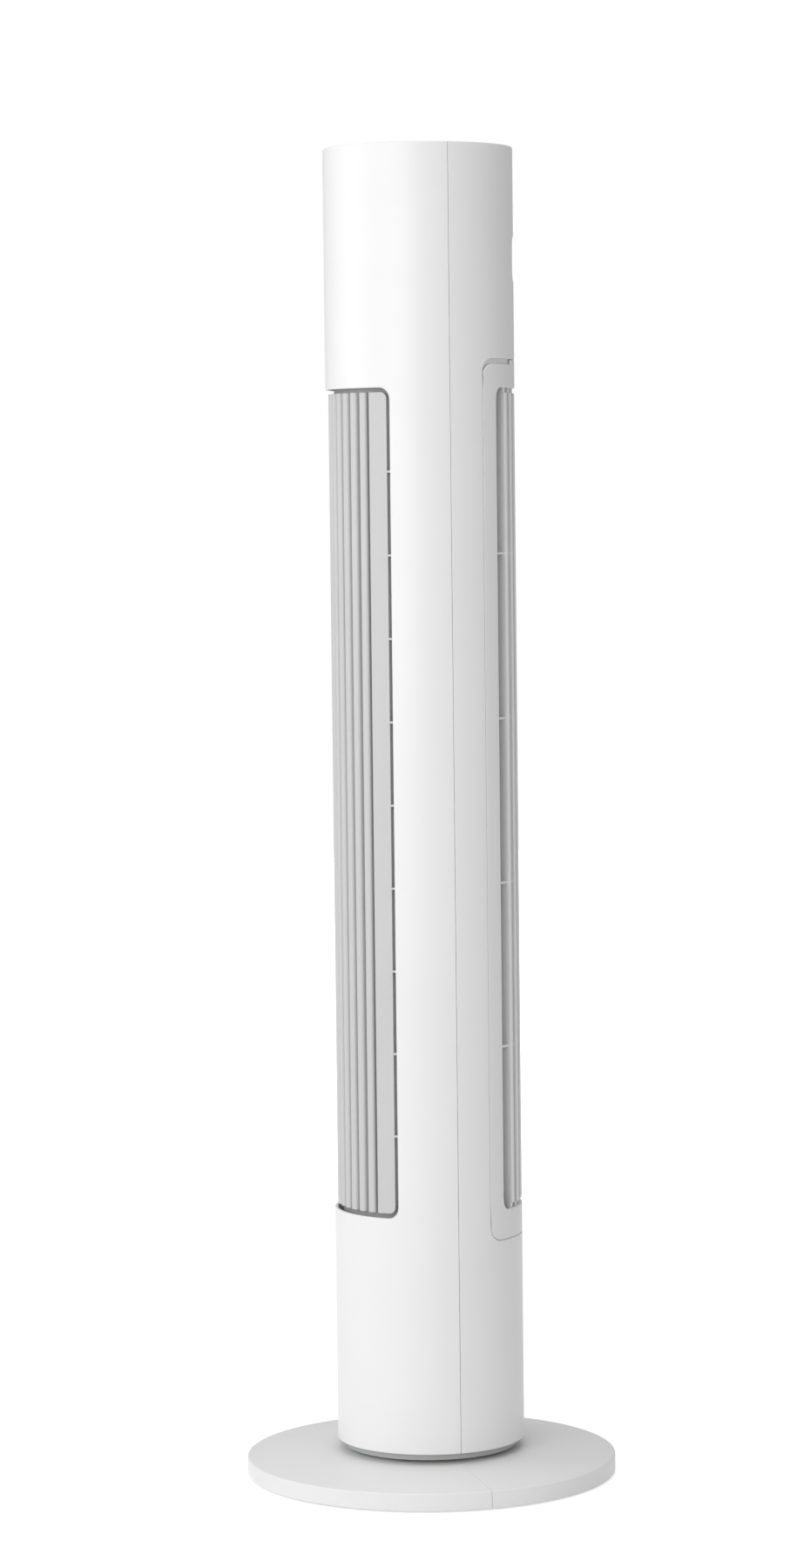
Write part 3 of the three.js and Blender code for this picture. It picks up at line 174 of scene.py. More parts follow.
acetal = moulded("acetal_natural", "#ece9de", "#e4e0d2", 0.32, grain_depth=0.008, ior=1.48)
print("moulded plastics:", [m.name for m in bpy.data.materials if "_" in m.name])

# %% [markdown]
# Rubber feet, zinc-plated steel, the green laminate of the boards and the smoked acrylic lens
# make up the rest. Each starts from its real surface: rubber is matt with a dusty bloom,
# zinc plate is a grey metal with soft crystal blotches, and acrylic is clear, dark and polished.
# Pictures of such surfaces could be wrapped round the parts. Noise, cell and wave patterns need no
# picture and keep their size in millimetres on every part.

# %% Rubber, steel, board and lens
def rubber_material(name, colour, bloom):
    material, tree = new_material(name)
    place = node(tree, "ShaderNodeTexCoord").outputs["Object"]
    dust = node(tree, "ShaderNodeTexNoise", Vector=place, Scale=per_metre(6), Detail=4.0)
    tone = node(tree, "ShaderNodeMix", {"data_type": "RGBA"}, _0=dust.outputs["Fac"],
                _6=linear(colour), _7=linear(bloom))
    fine = node(tree, "ShaderNodeTexNoise", Vector=place, Scale=per_metre(0.8), Detail=2.0)
    bump = node(tree, "ShaderNodeBump", Strength=0.4, Distance=0.05 * MM, Height=fine.outputs["Fac"])
    surface = node(tree, "ShaderNodeBsdfPrincipled", Base_Color=tone.outputs[2], Roughness=0.8,
                   Normal=bump.outputs["Normal"])
    surface.inputs["IOR"].default_value = 1.52
    node(tree, "ShaderNodeOutputMaterial", Surface=surface.outputs["BSDF"])
    return material


def plated_steel(name, colour, shade, roughness, blotch_mm=4):
    material, tree = new_material(name)
    place = node(tree, "ShaderNodeTexCoord").outputs["Object"]
    cells = node(tree, "ShaderNodeTexVoronoi", Vector=place, Scale=per_metre(blotch_mm))
    tone = node(tree, "ShaderNodeMix", {"data_type": "RGBA"}, _0=cells.outputs["Distance"],
                _6=linear(colour), _7=linear(shade))
    streak = node(tree, "ShaderNodeTexNoise", Vector=place, Scale=per_metre(1.5), Detail=2.0)
    gloss = node(tree, "ShaderNodeMapRange", Value=streak.outputs["Fac"],
                 To_Min=roughness - 0.06, To_Max=roughness + 0.06)
    surface = node(tree, "ShaderNodeBsdfPrincipled", Base_Color=tone.outputs[2],
                   Roughness=gloss.outputs["Result"])
    surface.inputs["Metallic"].default_value = 1.0
    node(tree, "ShaderNodeOutputMaterial", Surface=surface.outputs["BSDF"])
    return material


def board_laminate(name, mask, copper):
    """Green solder mask over copper tracks: lighter green bands, 1.2 mm wide and about as far apart."""
    material, tree = new_material(name)
    place = node(tree, "ShaderNodeTexCoord").outputs["Object"]
    bands = {"wave_type": "BANDS", "bands_direction": "X"}
    tracks = node(tree, "ShaderNodeTexWave", bands, Vector=place, Scale=per_metre(1.2) / 6.28,
                  Distortion=6.0, Detail=1.0, Detail_Scale=0.3)
    edge = node(tree, "ShaderNodeMapRange", Value=tracks.outputs["Fac"], From_Min=0.55, From_Max=0.7)
    tone = node(tree, "ShaderNodeMix", {"data_type": "RGBA"}, _0=edge.outputs["Result"],
                _6=linear(mask), _7=linear(copper))
    surface = node(tree, "ShaderNodeBsdfPrincipled", Base_Color=tone.outputs[2], Roughness=0.35)
    surface.inputs["IOR"].default_value = 1.5
    node(tree, "ShaderNodeOutputMaterial", Surface=surface.outputs["BSDF"])
    return material


rubber_black = rubber_material("rubber_black", "#1b1c1d", "#2b2c2e")
zinc_steel = plated_steel("zinc_plated_steel", "#c3c6c9", "#aeb2b6", 0.34)
motor_steel = plated_steel("rolled_steel_can", "#9fa3a7", "#8c9095", 0.4, blotch_mm=9)
solder_mask = board_laminate("solder_mask_green", "#1c5238", "#276847")
smoked_acrylic = moulded("acrylic_smoked", "#17191c", "#14161a", 0.08, grain_depth=0.0, ior=1.49)
print("materials so far:", len(bpy.data.materials))

# %% [markdown]
# Every round wall of the body is drawn the same way. Points are named by an angle from the front
# and a height, laid out in patches of quads, and then wrapped on to the cylinder.
# A plane with a Boolean hole would do, but its long thin triangles shade badly.
# Patches whose columns follow the rounded corners of each window stay clean, so a Bevel
# can run a fine even edge round them afterwards.

# %% Points and outlines
ARC_STEP = 2.5           # degrees between the columns of a round wall


def on_round(r, angle, z):
    """A point at radius r and height z in millimetres, turned in degrees from the front (-Y) to +X."""
    a = math.radians(angle)
    return Vector((r * math.sin(a), -r * math.cos(a), z)) * MM


def between(start, end, step):
    """Even steps from start to end, none longer than step."""
    count = max(1, math.ceil(abs(end - start) / step - 1e-9))
    return [start + (end - start) * i / count for i in range(count + 1)]


class Window:
    """A window with rounded corners on a round wall: half its angle, its two heights, its corners."""

    def __init__(self, radius, half_angle, z0, z1, corner, top_corner=None, centre=0):
        self.radius, self.half_angle, self.centre = radius, half_angle, centre
        self.z0, self.z1 = z0, z1
        self.corner, self.top_corner = corner, corner if top_corner is None else top_corner

    def along(self, angle):
        return abs(math.radians(angle - self.centre)) * self.radius

    def edge(self, angle, corner):
        """How far the outline has turned in from its straight end, in millimetres."""
        side = math.radians(self.half_angle) * self.radius
        into = min(corner, max(0.0, self.along(angle) - (side - corner)))
        if corner - into < 0.001:      # a rounded angle must still end the corner exactly
            return corner
        return corner - math.sqrt(max(0.0, corner * corner - into * into))

    def low(self, angle):
        return self.z0 + self.edge(angle, self.corner)

    def high(self, angle):
        return self.z1 - self.edge(angle, self.top_corner)

    def angles(self, corner_steps=7):
        """Angles across the window, close together at its rounded corners."""
        side = math.radians(self.half_angle) * self.radius
        found = set()
        for corner in {self.corner, self.top_corner}:
            for i in range(corner_steps + 1):
                s = side - corner + corner * math.sin(math.pi / 2 * i / corner_steps)
                found.add(math.degrees(s / self.radius))
        straight = math.degrees((side - max(self.corner, self.top_corner)) / self.radius)
        found |= set(between(0, straight, ARC_STEP))
        both = sorted({round(a, 4) for a in found} | {round(-a, 4) for a in found})
        return [self.centre + a for a in both]


print("steps round half the body:", len(between(0, 180, ARC_STEP)) - 1)

# %% [markdown]
# A panel is two skins, outer and inner, joined along every free edge.
# Solidify would give the same thickness, but here the two radii are wanted exactly,
# because neighbouring panels sit only 0.3 mm apart.

# %% Panels from patches
ROW_STEP = 60            # mm between the rows of a tall wall


def constant(value):
    """A radius that is the same at every point of a panel."""
    return lambda angle, z: value


def wrapped_panel(patches, outer, inner):
    """Mesh of a closed panel. A patch is (angles, rows); outer and inner give the radius at a point."""
    faces, points = [], {}
    for angles, rows in patches:
        for a0, a1 in zip(angles, angles[1:]):
            here, there = rows(a0), rows(a1)
            for j in range(len(here) - 1):
                quad = [(a0, here[j]), (a1, there[j]), (a1, there[j + 1]), (a0, here[j + 1])]
                keys = []
                for a, z in quad:
                    key = (round(a, 3), round(z, 3))
                    points.setdefault(key, (a, z))
                    if key not in keys:
                        keys.append(key)
                if len(keys) > 2:
                    faces.append(keys)
    bm = bmesh.new()
    skins = [{k: bm.verts.new(on_round(r(*p), *p)) for k, p in points.items()} for r in (outer, inner)]
    used = {}
    for keys in faces:
        bm.faces.new([skins[0][k] for k in keys])
        bm.faces.new([skins[1][k] for k in reversed(keys)])
        for p, q in zip(keys, keys[1:] + keys[:1]):
            used[frozenset((p, q))] = None if frozenset((p, q)) in used else (p, q)
    for p, q in filter(None, used.values()):
        bm.faces.new([skins[0][q], skins[0][p], skins[1][p], skins[1][q]])
    return bm


def stacked(strips, *heights):
    """Patches that give every strip of angles every one of these rows."""
    return [(strip, rows) for strip in strips for rows in heights]


sample = wrapped_panel([([0, ARC_STEP], lambda a: [0, ROW_STEP])], constant(78), constant(75))
print("a panel of one patch has", len(sample.faces), "faces")
sample.free()

# %% [markdown]
# A moulded part has no truly sharp edge: each comes out with a small round that catches the light.
# The rounds could be drawn with every shape. A Bevel modifier adds them afterwards, with one width
# for a whole piece, and keeps the drawing of the shapes simple.

# %% From mesh to piece
def finish_piece(bm, name, material, body, stands_for=(), soften=0.4, angle=32, segments=2, sharp=0):
    """Turns the mesh into a piece that rides on a body. Its edges are rounded by so many millimetres
    (soften) where they turn by more than the angle, or left sharp above so many degrees (sharp)."""
    bmesh.ops.recalc_face_normals(bm, faces=bm.faces)
    open_edges = sum(1 for e in bm.edges if not e.is_manifold)
    if open_edges:
        print("open edges in", name, ":", open_edges)
    mesh = bpy.data.meshes.new(name)
    bm.to_mesh(mesh)
    bm.free()
    mesh.shade_smooth()
    if sharp:
        mesh.set_sharp_from_angle(angle=math.radians(sharp))
    piece = bpy.data.objects.new(name, mesh)
    bpy.context.scene.collection.objects.link(piece)
    mesh.materials.append(material)
    if soften:
        edge = piece.modifiers.new("soft_edges", "BEVEL")
        edge.width = soften * MM
        edge.segments = segments
        edge.limit_method = "ANGLE"
        edge.angle_limit = math.radians(angle)
        edge.use_clamp_overlap = False
        edge.harden_normals = True
        edge.miter_outer = "MITER_ARC"
    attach(piece, body)
    if stands_for:
        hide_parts(*stands_for)
    return piece


print("meshes before the first piece:", len(bpy.data.meshes))

# %% [markdown]
# The body is two half tubes that meet in an upright seam on each side.
# The front half has the tall outlet window. The rear half has the opening for the intake cover
# and, near the top, the window of the carry handle.
# Both keep the sizes of the solids they stand for, and only the round of the top rim is a little
# tighter, as in the picture. The sizes could be measured on those solids. They are written out,
# so that each has a name to follow.

# %% Sizes of the body
TOTAL_HEIGHT = 1100
BODY_BOTTOM = 30
BODY_R = 78
SHELL_WALL = 2.6
SHELL_INNER_R = BODY_R - SHELL_WALL
TOP_EDGE = 1.2
BOTTOM_EDGE = 1.5
SEAM = 0.3
SEAM_HALF = math.degrees(SEAM / 2 / BODY_R)

OUTLET_HALF = 53         # half angles are in degrees, the rest in millimetres
OUTLET_LOW, OUTLET_HIGH = 225, 903
OUTLET_CORNER = 9
OUTLET = Window(BODY_R, OUTLET_HALF, OUTLET_LOW, OUTLET_HIGH, OUTLET_CORNER)


def body_outer(angle, z):
    """Outer radius of the body, drawn in over its rounded top and bottom edges."""
    if z > TOTAL_HEIGHT - TOP_EDGE:
        into = z - (TOTAL_HEIGHT - TOP_EDGE)
        return BODY_R - TOP_EDGE + math.sqrt(max(0, TOP_EDGE ** 2 - into ** 2))
    if z < BODY_BOTTOM + BOTTOM_EDGE:
        into = BODY_BOTTOM + BOTTOM_EDGE - z
        return BODY_R - BOTTOM_EDGE + math.sqrt(max(0, BOTTOM_EDGE ** 2 - into ** 2))
    return BODY_R


def round_rows(z_edge, size, upwards, steps=5):
    """Heights that follow a quarter round towards its end."""
    reach = size if upwards else -size
    rows = [z_edge + reach * math.sin(math.pi / 2 * i / steps) for i in range(steps + 1)]
    return rows if upwards else rows[::-1]


bottom_rows = round_rows(BODY_BOTTOM + BOTTOM_EDGE, BOTTOM_EDGE, upwards=False)
top_rows = round_rows(TOTAL_HEIGHT - TOP_EDGE, TOP_EDGE, upwards=True)
print("seam half angle", round(SEAM_HALF, 3), "degrees, columns across the outlet", len(OUTLET.angles()))

# %% [markdown]
# The front half comes out of the mould with its window in it. The hole could be cut from a tube
# with a Boolean. Patches laid round the window give the same hole, with faces that follow its edge.
# The top and bottom edges are rounded, so that the rim of the body catches a fine light.

# %% Front shell
TOP_ROW_STEP = 40        # mm between the rows over an opening


def shell_patches(window, first, last):
    """Patches of a half tube round one window, with plain strips beside it."""
    inside = window.angles()
    beside = between(first, inside[0], ARC_STEP), between(inside[-1], last, ARC_STEP)
    low_side, high_side = window.z0 + window.corner, window.z1 - window.top_corner
    under = between(bottom_rows[-1], window.z0, ROW_STEP)[:-1]
    over = between(window.z1, top_rows[0], TOP_ROW_STEP)[1:]
    found = [
        (inside, lambda a: under + [window.low(a)]),
        (inside, lambda a: [window.high(a)] + over),
    ]
    found += stacked(beside,
                     lambda a: under + [low_side],
                     lambda a: between(low_side, high_side, ROW_STEP),
                     lambda a: [high_side] + over)
    return found + stacked((inside, *beside), lambda a: bottom_rows, lambda a: top_rows)


front_patches = shell_patches(OUTLET, -90 + SEAM_HALF, 90 - SEAM_HALF)
front_shell = finish_piece(
    wrapped_panel(front_patches, body_outer, constant(SHELL_INNER_R)),
    "front_shell_skin", abs_white, "tower", ["front_shell"], soften=0.5)
print("front shell faces:", len(front_shell.data.polygons))

# %% [markdown]
# The rear half is the same tube with two openings. The cover's opening is drawn 0.35 mm wider
# than the cover all round, as a moulder leaves it, so that a fine dark line shows between them.
# Two walls, one for each opening, would be easier to draw and would show where they meet.
# So one set of columns serves both openings.

# %% Rear shell
COVER_HALF = 67.5
COVER_LOW, COVER_TOP = 202.8, 926
COVER_CORNER, COVER_TOP_CORNER = 13, 12
COVER_ROOM = 0.35        # between the cover and its opening
HANDLE_Z, HANDLE_HEIGHT = 1008.5, 37
HANDLE_LOW, HANDLE_HIGH = HANDLE_Z - HANDLE_HEIGHT / 2, HANDLE_Z + HANDLE_HEIGHT / 2
HANDLE_HALF_WIDTH, HANDLE_CORNER = 38.5, 8
COVER_HOLE = Window(BODY_R, COVER_HALF + math.degrees(COVER_ROOM / BODY_R), COVER_LOW - COVER_ROOM,
                    COVER_TOP + COVER_ROOM, COVER_CORNER, COVER_TOP_CORNER, centre=180)
HANDLE_HOLE = Window(BODY_R, math.degrees(HANDLE_HALF_WIDTH / BODY_R), HANDLE_LOW, HANDLE_HIGH,
                     HANDLE_CORNER, centre=180)
ROW_OVER_COVER, ROW_OVER_HANDLE = 20, 4       # the first row above each opening
SAME_ANGLE = 1e-3        # degrees; columns closer than this are one column


def rear_shell_patches():
    """The rear half tube, split into columns that both of its openings share."""
    first, last = 90 + SEAM_HALF, 270 - SEAM_HALF
    grip = HANDLE_HOLE.angles()
    beyond_grip = [a for a in COVER_HOLE.angles() if not grip[0] < a < grip[-1]]
    across = sorted({round(a, 4) for a in beyond_grip + grip})
    grip_only = [a for a in across if grip[0] - SAME_ANGLE <= a <= grip[-1] + SAME_ANGLE]
    left_of = [a for a in across if a <= grip[0] + SAME_ANGLE]
    right_of = [a for a in across if a >= grip[-1] - SAME_ANGLE]
    beside = between(first, across[0], ARC_STEP), between(across[-1], last, ARC_STEP)
    low_side, high_side = COVER_HOLE.z0 + COVER_HOLE.corner, COVER_HOLE.z1 - COVER_HOLE.top_corner
    grip_low, grip_high = HANDLE_HOLE.z0 + HANDLE_CORNER, HANDLE_HOLE.z1 - HANDLE_CORNER
    under = between(bottom_rows[-1], COVER_HOLE.z0, ROW_STEP)[:-1]
    middle = COVER_HOLE.z1 + ROW_OVER_COVER
    over = between(HANDLE_HOLE.z1 + ROW_OVER_HANDLE, top_rows[0], TOP_ROW_STEP)
    by_the_handle = (lambda a: [middle, grip_low],
                     lambda a: [grip_low, grip_high],
                     lambda a: [grip_high] + over)
    found = [
        (across, lambda a: under + [COVER_HOLE.low(a)]),
        (across, lambda a: [COVER_HOLE.high(a), middle]),
        (grip_only, lambda a: [middle, HANDLE_HOLE.low(a)]),
        (grip_only, lambda a: [HANDLE_HOLE.high(a)] + over),
    ]
    found += stacked((left_of, right_of), *by_the_handle)
    found += stacked(beside,
                     lambda a: under + [low_side],
                     lambda a: between(low_side, high_side, ROW_STEP),
                     lambda a: [high_side, middle],
                     *by_the_handle)
    return found + stacked((across, *beside), lambda a: bottom_rows, lambda a: top_rows)


rear_shell = finish_piece(
    wrapped_panel(rear_shell_patches(), body_outer, constant(SHELL_INNER_R)),
    "rear_shell_skin", abs_rear, "tower", ["rear_shell"], soften=0.5)
print("rear shell faces:", len(rear_shell.data.polygons))

# %% [markdown]
# The outlet grille is one moulding that snaps in from behind. A plain band runs up each side of
# it, 2.5 mm in from the body, and a 3.5 mm groove parts it from the shell all round.
# Set well back behind the bands lies a rail, wider than the window, which closes the groove.
# The groove is twice as deep as it is wide, and its rail is a darker grey than the bands: painted shade,
# so the outlet gets its dark outline from the groove's depth and from that painted shade.
# The grille could be one mesh. In pieces it is easier to follow, and the rail can have its painted-shade
# grey.

# %% Side bands and rail of the grille
GRILLE_R = BODY_R - 2.5
GRILLE_BACK_R = GRILLE_R - 2.2
RAIL_R = GRILLE_BACK_R - 2.4
RAIL_BACK_R = RAIL_R - 2.4
GROOVE = 3.5
BAND_START = 38.0                  # degrees from the front to the inner edge of a side band
RAIL_PAST_WINDOW = 5.6
RAIL_CORNER = 2
RAIL_OPENING_HALF = 44
RAIL_OVERLAP = 4                   # how far the rail reaches in behind the slats' ends
GRILLE_FACE = Window(BODY_R, OUTLET_HALF - math.degrees(GROOVE / BODY_R), OUTLET_LOW + GROOVE,
                     OUTLET_HIGH - GROOVE, OUTLET_CORNER - GROOVE)
RAIL_EDGE = Window(BODY_R, OUTLET_HALF + math.degrees(RAIL_PAST_WINDOW / BODY_R),
                   OUTLET_LOW - RAIL_PAST_WINDOW, OUTLET_HIGH + RAIL_PAST_WINDOW, RAIL_CORNER)
RAIL_OPENING = Window(BODY_R, RAIL_OPENING_HALF, GRILLE_FACE.z0 + RAIL_OVERLAP,
                      GRILLE_FACE.z1 - RAIL_OVERLAP, RAIL_CORNER)


def mirrored(angles, centre=0):
    """The same strip of angles on the other side of the middle."""
    return [2 * centre - a for a in reversed(angles)]


def side_patches(strip, edge, low, high):
    """Patches of a strip beside an opening and of its mirror image, down to the edge and up to it."""
    return stacked((mirrored(strip, edge.centre), strip),
                   lambda a: [edge.low(a), max(low, edge.low(a))],
                   lambda a: between(low, high, ROW_STEP),
                   lambda a: [min(high, edge.high(a)), edge.high(a)])


def frame_patches(edge, opening, inside=None, closest=SAME_ANGLE):
    """A curved frame: the space between two windows that share a middle. Its columns are the opening's
    own, or those given, and beside them the edge's, no closer than so many degrees."""
    inside = inside or opening.angles()
    right_side = [inside[-1], *(a for a in edge.angles() if a > inside[-1] + closest)]
    found = [
        (inside, lambda a: [edge.low(a), opening.low(a)]),
        (inside, lambda a: [opening.high(a), edge.high(a)]),
    ]
    low, high = opening.z0 + opening.corner, opening.z1 - opening.top_corner
    return found + side_patches(right_side, edge, low, high)


band = [BAND_START, *(a for a in GRILLE_FACE.angles() if a > BAND_START + 0.5)]
band_patches = side_patches(band, GRILLE_FACE, GRILLE_FACE.z0 + GRILLE_FACE.corner,
                            GRILLE_FACE.z1 - GRILLE_FACE.corner)
finish_piece(wrapped_panel(band_patches, constant(GRILLE_R), constant(GRILLE_BACK_R)),
             "outlet_grille_bands", abs_grille, "tower", ["outlet_grille"], soften=0.5)
# The rail wears the darker grey of painted shade.
finish_piece(wrapped_panel(frame_patches(RAIL_EDGE, RAIL_OPENING), constant(RAIL_R), constant(RAIL_BACK_R)),
             "outlet_grille_rail", abs_rail_painted_shade, "tower", soften=0.3)
print("grille bands from", BAND_START, "to", round(GRILLE_FACE.half_angle, 2), "degrees")

# %% [markdown]
# Slim upright seats on the rail reach out to the shell and to the backs of the bands, so that the
# moulding holds together. Each could be a cube bent along a curve. A bar made of four-cornered
# rings follows the body's round with no modifier at all, and serves for ribs, clips and ties too.

# %% Seats of the grille
def curved_bar(bm, r0, r1, angles, z0, z1):
    """A closed bar that follows the round of the body, from one radius to another."""
    section = ((r0, z0), (r1, z0), (r1, z1), (r0, z1))
    rings = [[bm.verts.new(on_round(r, a, z)) for r, z in section] for a in angles]
    for one, two in zip(rings, rings[1:]):
        for i in range(4):
            j = (i + 1) % 4
            bm.faces.new((one[i], one[j], two[j], two[i]))
    bm.faces.new(rings[0][::-1])
    bm.faces.new(rings[-1])


SHELL_SEAT, BAND_SEAT = (2.5, 0), (1.5, 0.1)      # degrees in from the edge of the rail and of a band
SEAT_R = RAIL_R - 0.4    # a little way into the rail, so the two are one moulding
SHELL_SEAT_R = SHELL_INNER_R - 0.45
BAND_SEAT_R = GRILLE_BACK_R + 0.2
BAND_SEAT_IN = 6         # mm that a band's seat stays short of the band's ends
seat_mesh = bmesh.new()
for side in (-1, 1):
    at_shell = sorted(side * (RAIL_EDGE.half_angle - inward) for inward in SHELL_SEAT)
    at_band = sorted(side * (GRILLE_FACE.half_angle - inward) for inward in BAND_SEAT)
    curved_bar(seat_mesh, SEAT_R, SHELL_SEAT_R, at_shell, RAIL_EDGE.z0, RAIL_EDGE.z1)
    curved_bar(seat_mesh, SEAT_R, BAND_SEAT_R, at_band, GRILLE_FACE.z0 + BAND_SEAT_IN,
               GRILLE_FACE.z1 - BAND_SEAT_IN)
finish_piece(seat_mesh, "outlet_grille_seats", abs_grille, "tower", soften=0.2)
print("seats reach out to a radius of", round(SHELL_SEAT_R, 2), "and", round(BAND_SEAT_R, 2), "mm")

# %% [markdown]
# An upright slat is broad and softly rounded at its face and narrows towards its back, because a
# moulded bar needs draft to leave its tool. One outline is drawn and pushed up in height.
# Its face may step back near the ends, as the bars of the intake do. An Array modifier could repeat
# one slat round the axis. A loop does it as well and leaves a plain mesh.

# %% Upright bars
def bar_outline(back_r, face_r, nose, tail, edge=1.0, steps=4):
    """Outline of a bar as (radius, across): broad face with round edges, narrow back."""
    half = nose / 2
    quarter = [math.pi / 2 * i / steps for i in range(steps + 1)]
    right_edge = [(face_r - edge + edge * math.sin(t), half - edge + edge * math.cos(t)) for t in quarter]
    left_edge = [(r, -t) for r, t in reversed(right_edge)]
    return [(back_r, tail / 2), *right_edge, *left_edge, (back_r, -tail / 2)]


def upright_bar(bm, angle, levels):
    """Joins outlines at several heights. Each level is (height, outline)."""
    a = math.radians(angle)
    outward, across = Vector((math.sin(a), -math.cos(a), 0)), Vector((math.cos(a), math.sin(a), 0))
    rings = [[bm.verts.new((outward * r + across * t + Vector((0, 0, z))) * MM) for r, t in outline]
             for z, outline in levels]
    for lower, upper in zip(rings, rings[1:]):
        for i in range(len(lower)):
            j = (i + 1) % len(lower)
            bm.faces.new((lower[j], lower[i], upper[i], upper[j]))
    bm.faces.new(rings[0])
    bm.faces.new(rings[-1][::-1])


BAR_ROW_STEP = 120
SLAT_PITCH = 8.2         # degrees
SLATS_BESIDE = 4         # on each side of the middle one
SLAT_DEPTH, SLAT_NOSE, SLAT_TAIL, SLAT_EDGE = 15, 7.5, 4.8, 2.4
slat = bar_outline(GRILLE_R - SLAT_DEPTH, GRILLE_R, SLAT_NOSE, SLAT_TAIL, SLAT_EDGE, steps=5)
slat_levels = [(z, slat) for z in between(GRILLE_FACE.z0, GRILLE_FACE.z1, BAR_ROW_STEP)]
slat_mesh = bmesh.new()
for i in range(-SLATS_BESIDE, SLATS_BESIDE + 1):
    upright_bar(slat_mesh, i * SLAT_PITCH, slat_levels)
slats = finish_piece(slat_mesh, "outlet_slats", abs_grille, "tower", soften=0.35, angle=60)
print("slats:", len(slats.data.polygons), "faces")

# %% [markdown]
# Thin curved ribs tie the slats together well behind their faces, about every 136 mm, and small
# clips bridge the groove about every 68 mm. In the picture the clips show as bright ticks along
# the outlet's edge, and the ribs stay out of sight. One long rib could be copied upwards with an
# Array modifier. A list of heights does the same, and the clips on each side share it.

# %% Ribs and clips
RIB_PITCH, CLIP_PITCH = 136, 68
THIN_HALF = 0.9          # half the thickness of ribs, clips and ties
RIB_HALF_ANGLE, RIB_DEPTH = 46, 7.5
CLIP_R = GRILLE_R + 0.5
CLIP_STEP = 1.5          # degrees between the rings of a clip
ROOT = 0.3               # how far ribs and clips run into what carries them


def spaced(z0, z1, pitch):
    """Heights that part a span into equal steps of about the given pitch."""
    count = max(1, round((z1 - z0) / pitch))
    return [z0 + (z1 - z0) * i / count for i in range(1, count)]


rib_heights = spaced(OUTLET_LOW, OUTLET_HIGH, RIB_PITCH)
clip_heights = spaced(OUTLET_LOW, OUTLET_HIGH, CLIP_PITCH)
rib_mesh = bmesh.new()
for z in rib_heights:
    curved_bar(rib_mesh, RAIL_BACK_R - RIB_DEPTH, RAIL_BACK_R + ROOT,
               between(-RIB_HALF_ANGLE, RIB_HALF_ANGLE, ARC_STEP), z - THIN_HALF, z + THIN_HALF)
finish_piece(rib_mesh, "outlet_ribs", abs_grille, "tower", soften=0.25)

shell_side = BODY_R * math.sin(math.radians(OUTLET_HALF)) - 0.3      # the clips stop just short of it
clip_from, clip_to = GRILLE_FACE.half_angle - 0.6, math.degrees(math.asin(shell_side / CLIP_R))
clip_mesh = bmesh.new()
for z in clip_heights:
    for side in (-1, 1):
        ends = sorted((side * clip_from, side * clip_to))
        curved_bar(clip_mesh, GRILLE_BACK_R - ROOT, CLIP_R, between(*ends, CLIP_STEP),
                   z - THIN_HALF, z + THIN_HALF)
finish_piece(clip_mesh, "outlet_clips", abs_grille, "tower", soften=0.25)
print("ribs:", len(rib_heights), " clips:", 2 * len(clip_heights))

# %% [markdown]
# The intake cover wraps round the rear and clips off for cleaning. The middle of its top edge
# reaches up to the shell. On both sides of that the edge stays 4.2 mm lower and leaves a slot
# for the fingernails, which bends down round the cover's upper corner. The slots could be cut out
# of a higher edge. It is simpler to draw the low edge and to stand the middle on it as a tongue.

# %% Intake cover
COVER_INNER_R = BODY_R - 2.7
NAIL_SLOT_HEIGHT = 4.2
TONGUE_HALF = 33         # degrees from the middle of the rear to where a nail slot begins
TONGUE_ROOM, SIDE_ROOM = 0.8, 0.3          # degrees kept free beside the columns that have to stay
COVER_EDGE = Window(BODY_R, COVER_HALF, COVER_LOW, COVER_TOP - NAIL_SLOT_HEIGHT, COVER_CORNER,
                    COVER_TOP_CORNER, centre=180)
INTAKE_HALF, INTAKE_LOW, INTAKE_CORNER = 55.5, 227, 8
INTAKE = Window(BODY_R, INTAKE_HALF, INTAKE_LOW, OUTLET_HIGH, INTAKE_CORNER, centre=180)

tongue = (180 - TONGUE_HALF, 180 + TONGUE_HALF)
clear_columns = {a for a in INTAKE.angles() if min(abs(a - t) for t in tongue) > TONGUE_ROOM}
columns = sorted(clear_columns | set(tongue))
tongue_columns = [a for a in columns if tongue[0] <= a <= tongue[1]]
cover_patches = frame_patches(COVER_EDGE, INTAKE, columns, SIDE_ROOM)
cover_patches.append((tongue_columns, lambda a: [COVER_EDGE.z1, COVER_TOP]))
finish_piece(wrapped_panel(cover_patches, constant(BODY_R), constant(COVER_INNER_R)),
             "intake_cover_skin", abs_cover, "intake_cover", ["rear_cover"],
             soften=0.7, segments=3)
print("cover from", COVER_LOW, "to", COVER_TOP, "mm")

# %% [markdown]
# The bars of the intake lie almost flush with the cover. Near both ends their faces step back
# by 1.8 mm, so the opening keeps a dark edge at its top and bottom. The step could be a second,
# thinner bar. With two more levels of the same outline, it is part of the bar itself.

# %% Intake bars
INTAKE_PITCH = 8.7       # degrees
BARS_BESIDE = 5          # on each side of the middle one
BAR_NOSE, BAR_TAIL = 4.5, 1.6
BAR_STEP, BAR_STEP_HEIGHT, BAR_STEP_SLOPE = 1.8, 4.5, 0.6
BAR_ROOT = 1.2           # how far a bar runs into the frame of the cover
BAR_FACE_R, BAR_BACK_R = BODY_R - 0.2, BODY_R - 8.2
bar = bar_outline(BAR_BACK_R, BAR_FACE_R, BAR_NOSE, BAR_TAIL)
bar_end = bar_outline(BAR_BACK_R, BAR_FACE_R - BAR_STEP, BAR_NOSE, BAR_TAIL)
bar_low, bar_high = INTAKE.z0 + BAR_STEP_HEIGHT, INTAKE.z1 - BAR_STEP_HEIGHT
bar_levels = [(INTAKE.z0 - BAR_ROOT, bar_end), (bar_low - BAR_STEP_SLOPE, bar_end),
              *((z, bar) for z in between(bar_low, bar_high, BAR_ROW_STEP)),
              (bar_high + BAR_STEP_SLOPE, bar_end), (INTAKE.z1 + BAR_ROOT, bar_end)]
bar_mesh = bmesh.new()
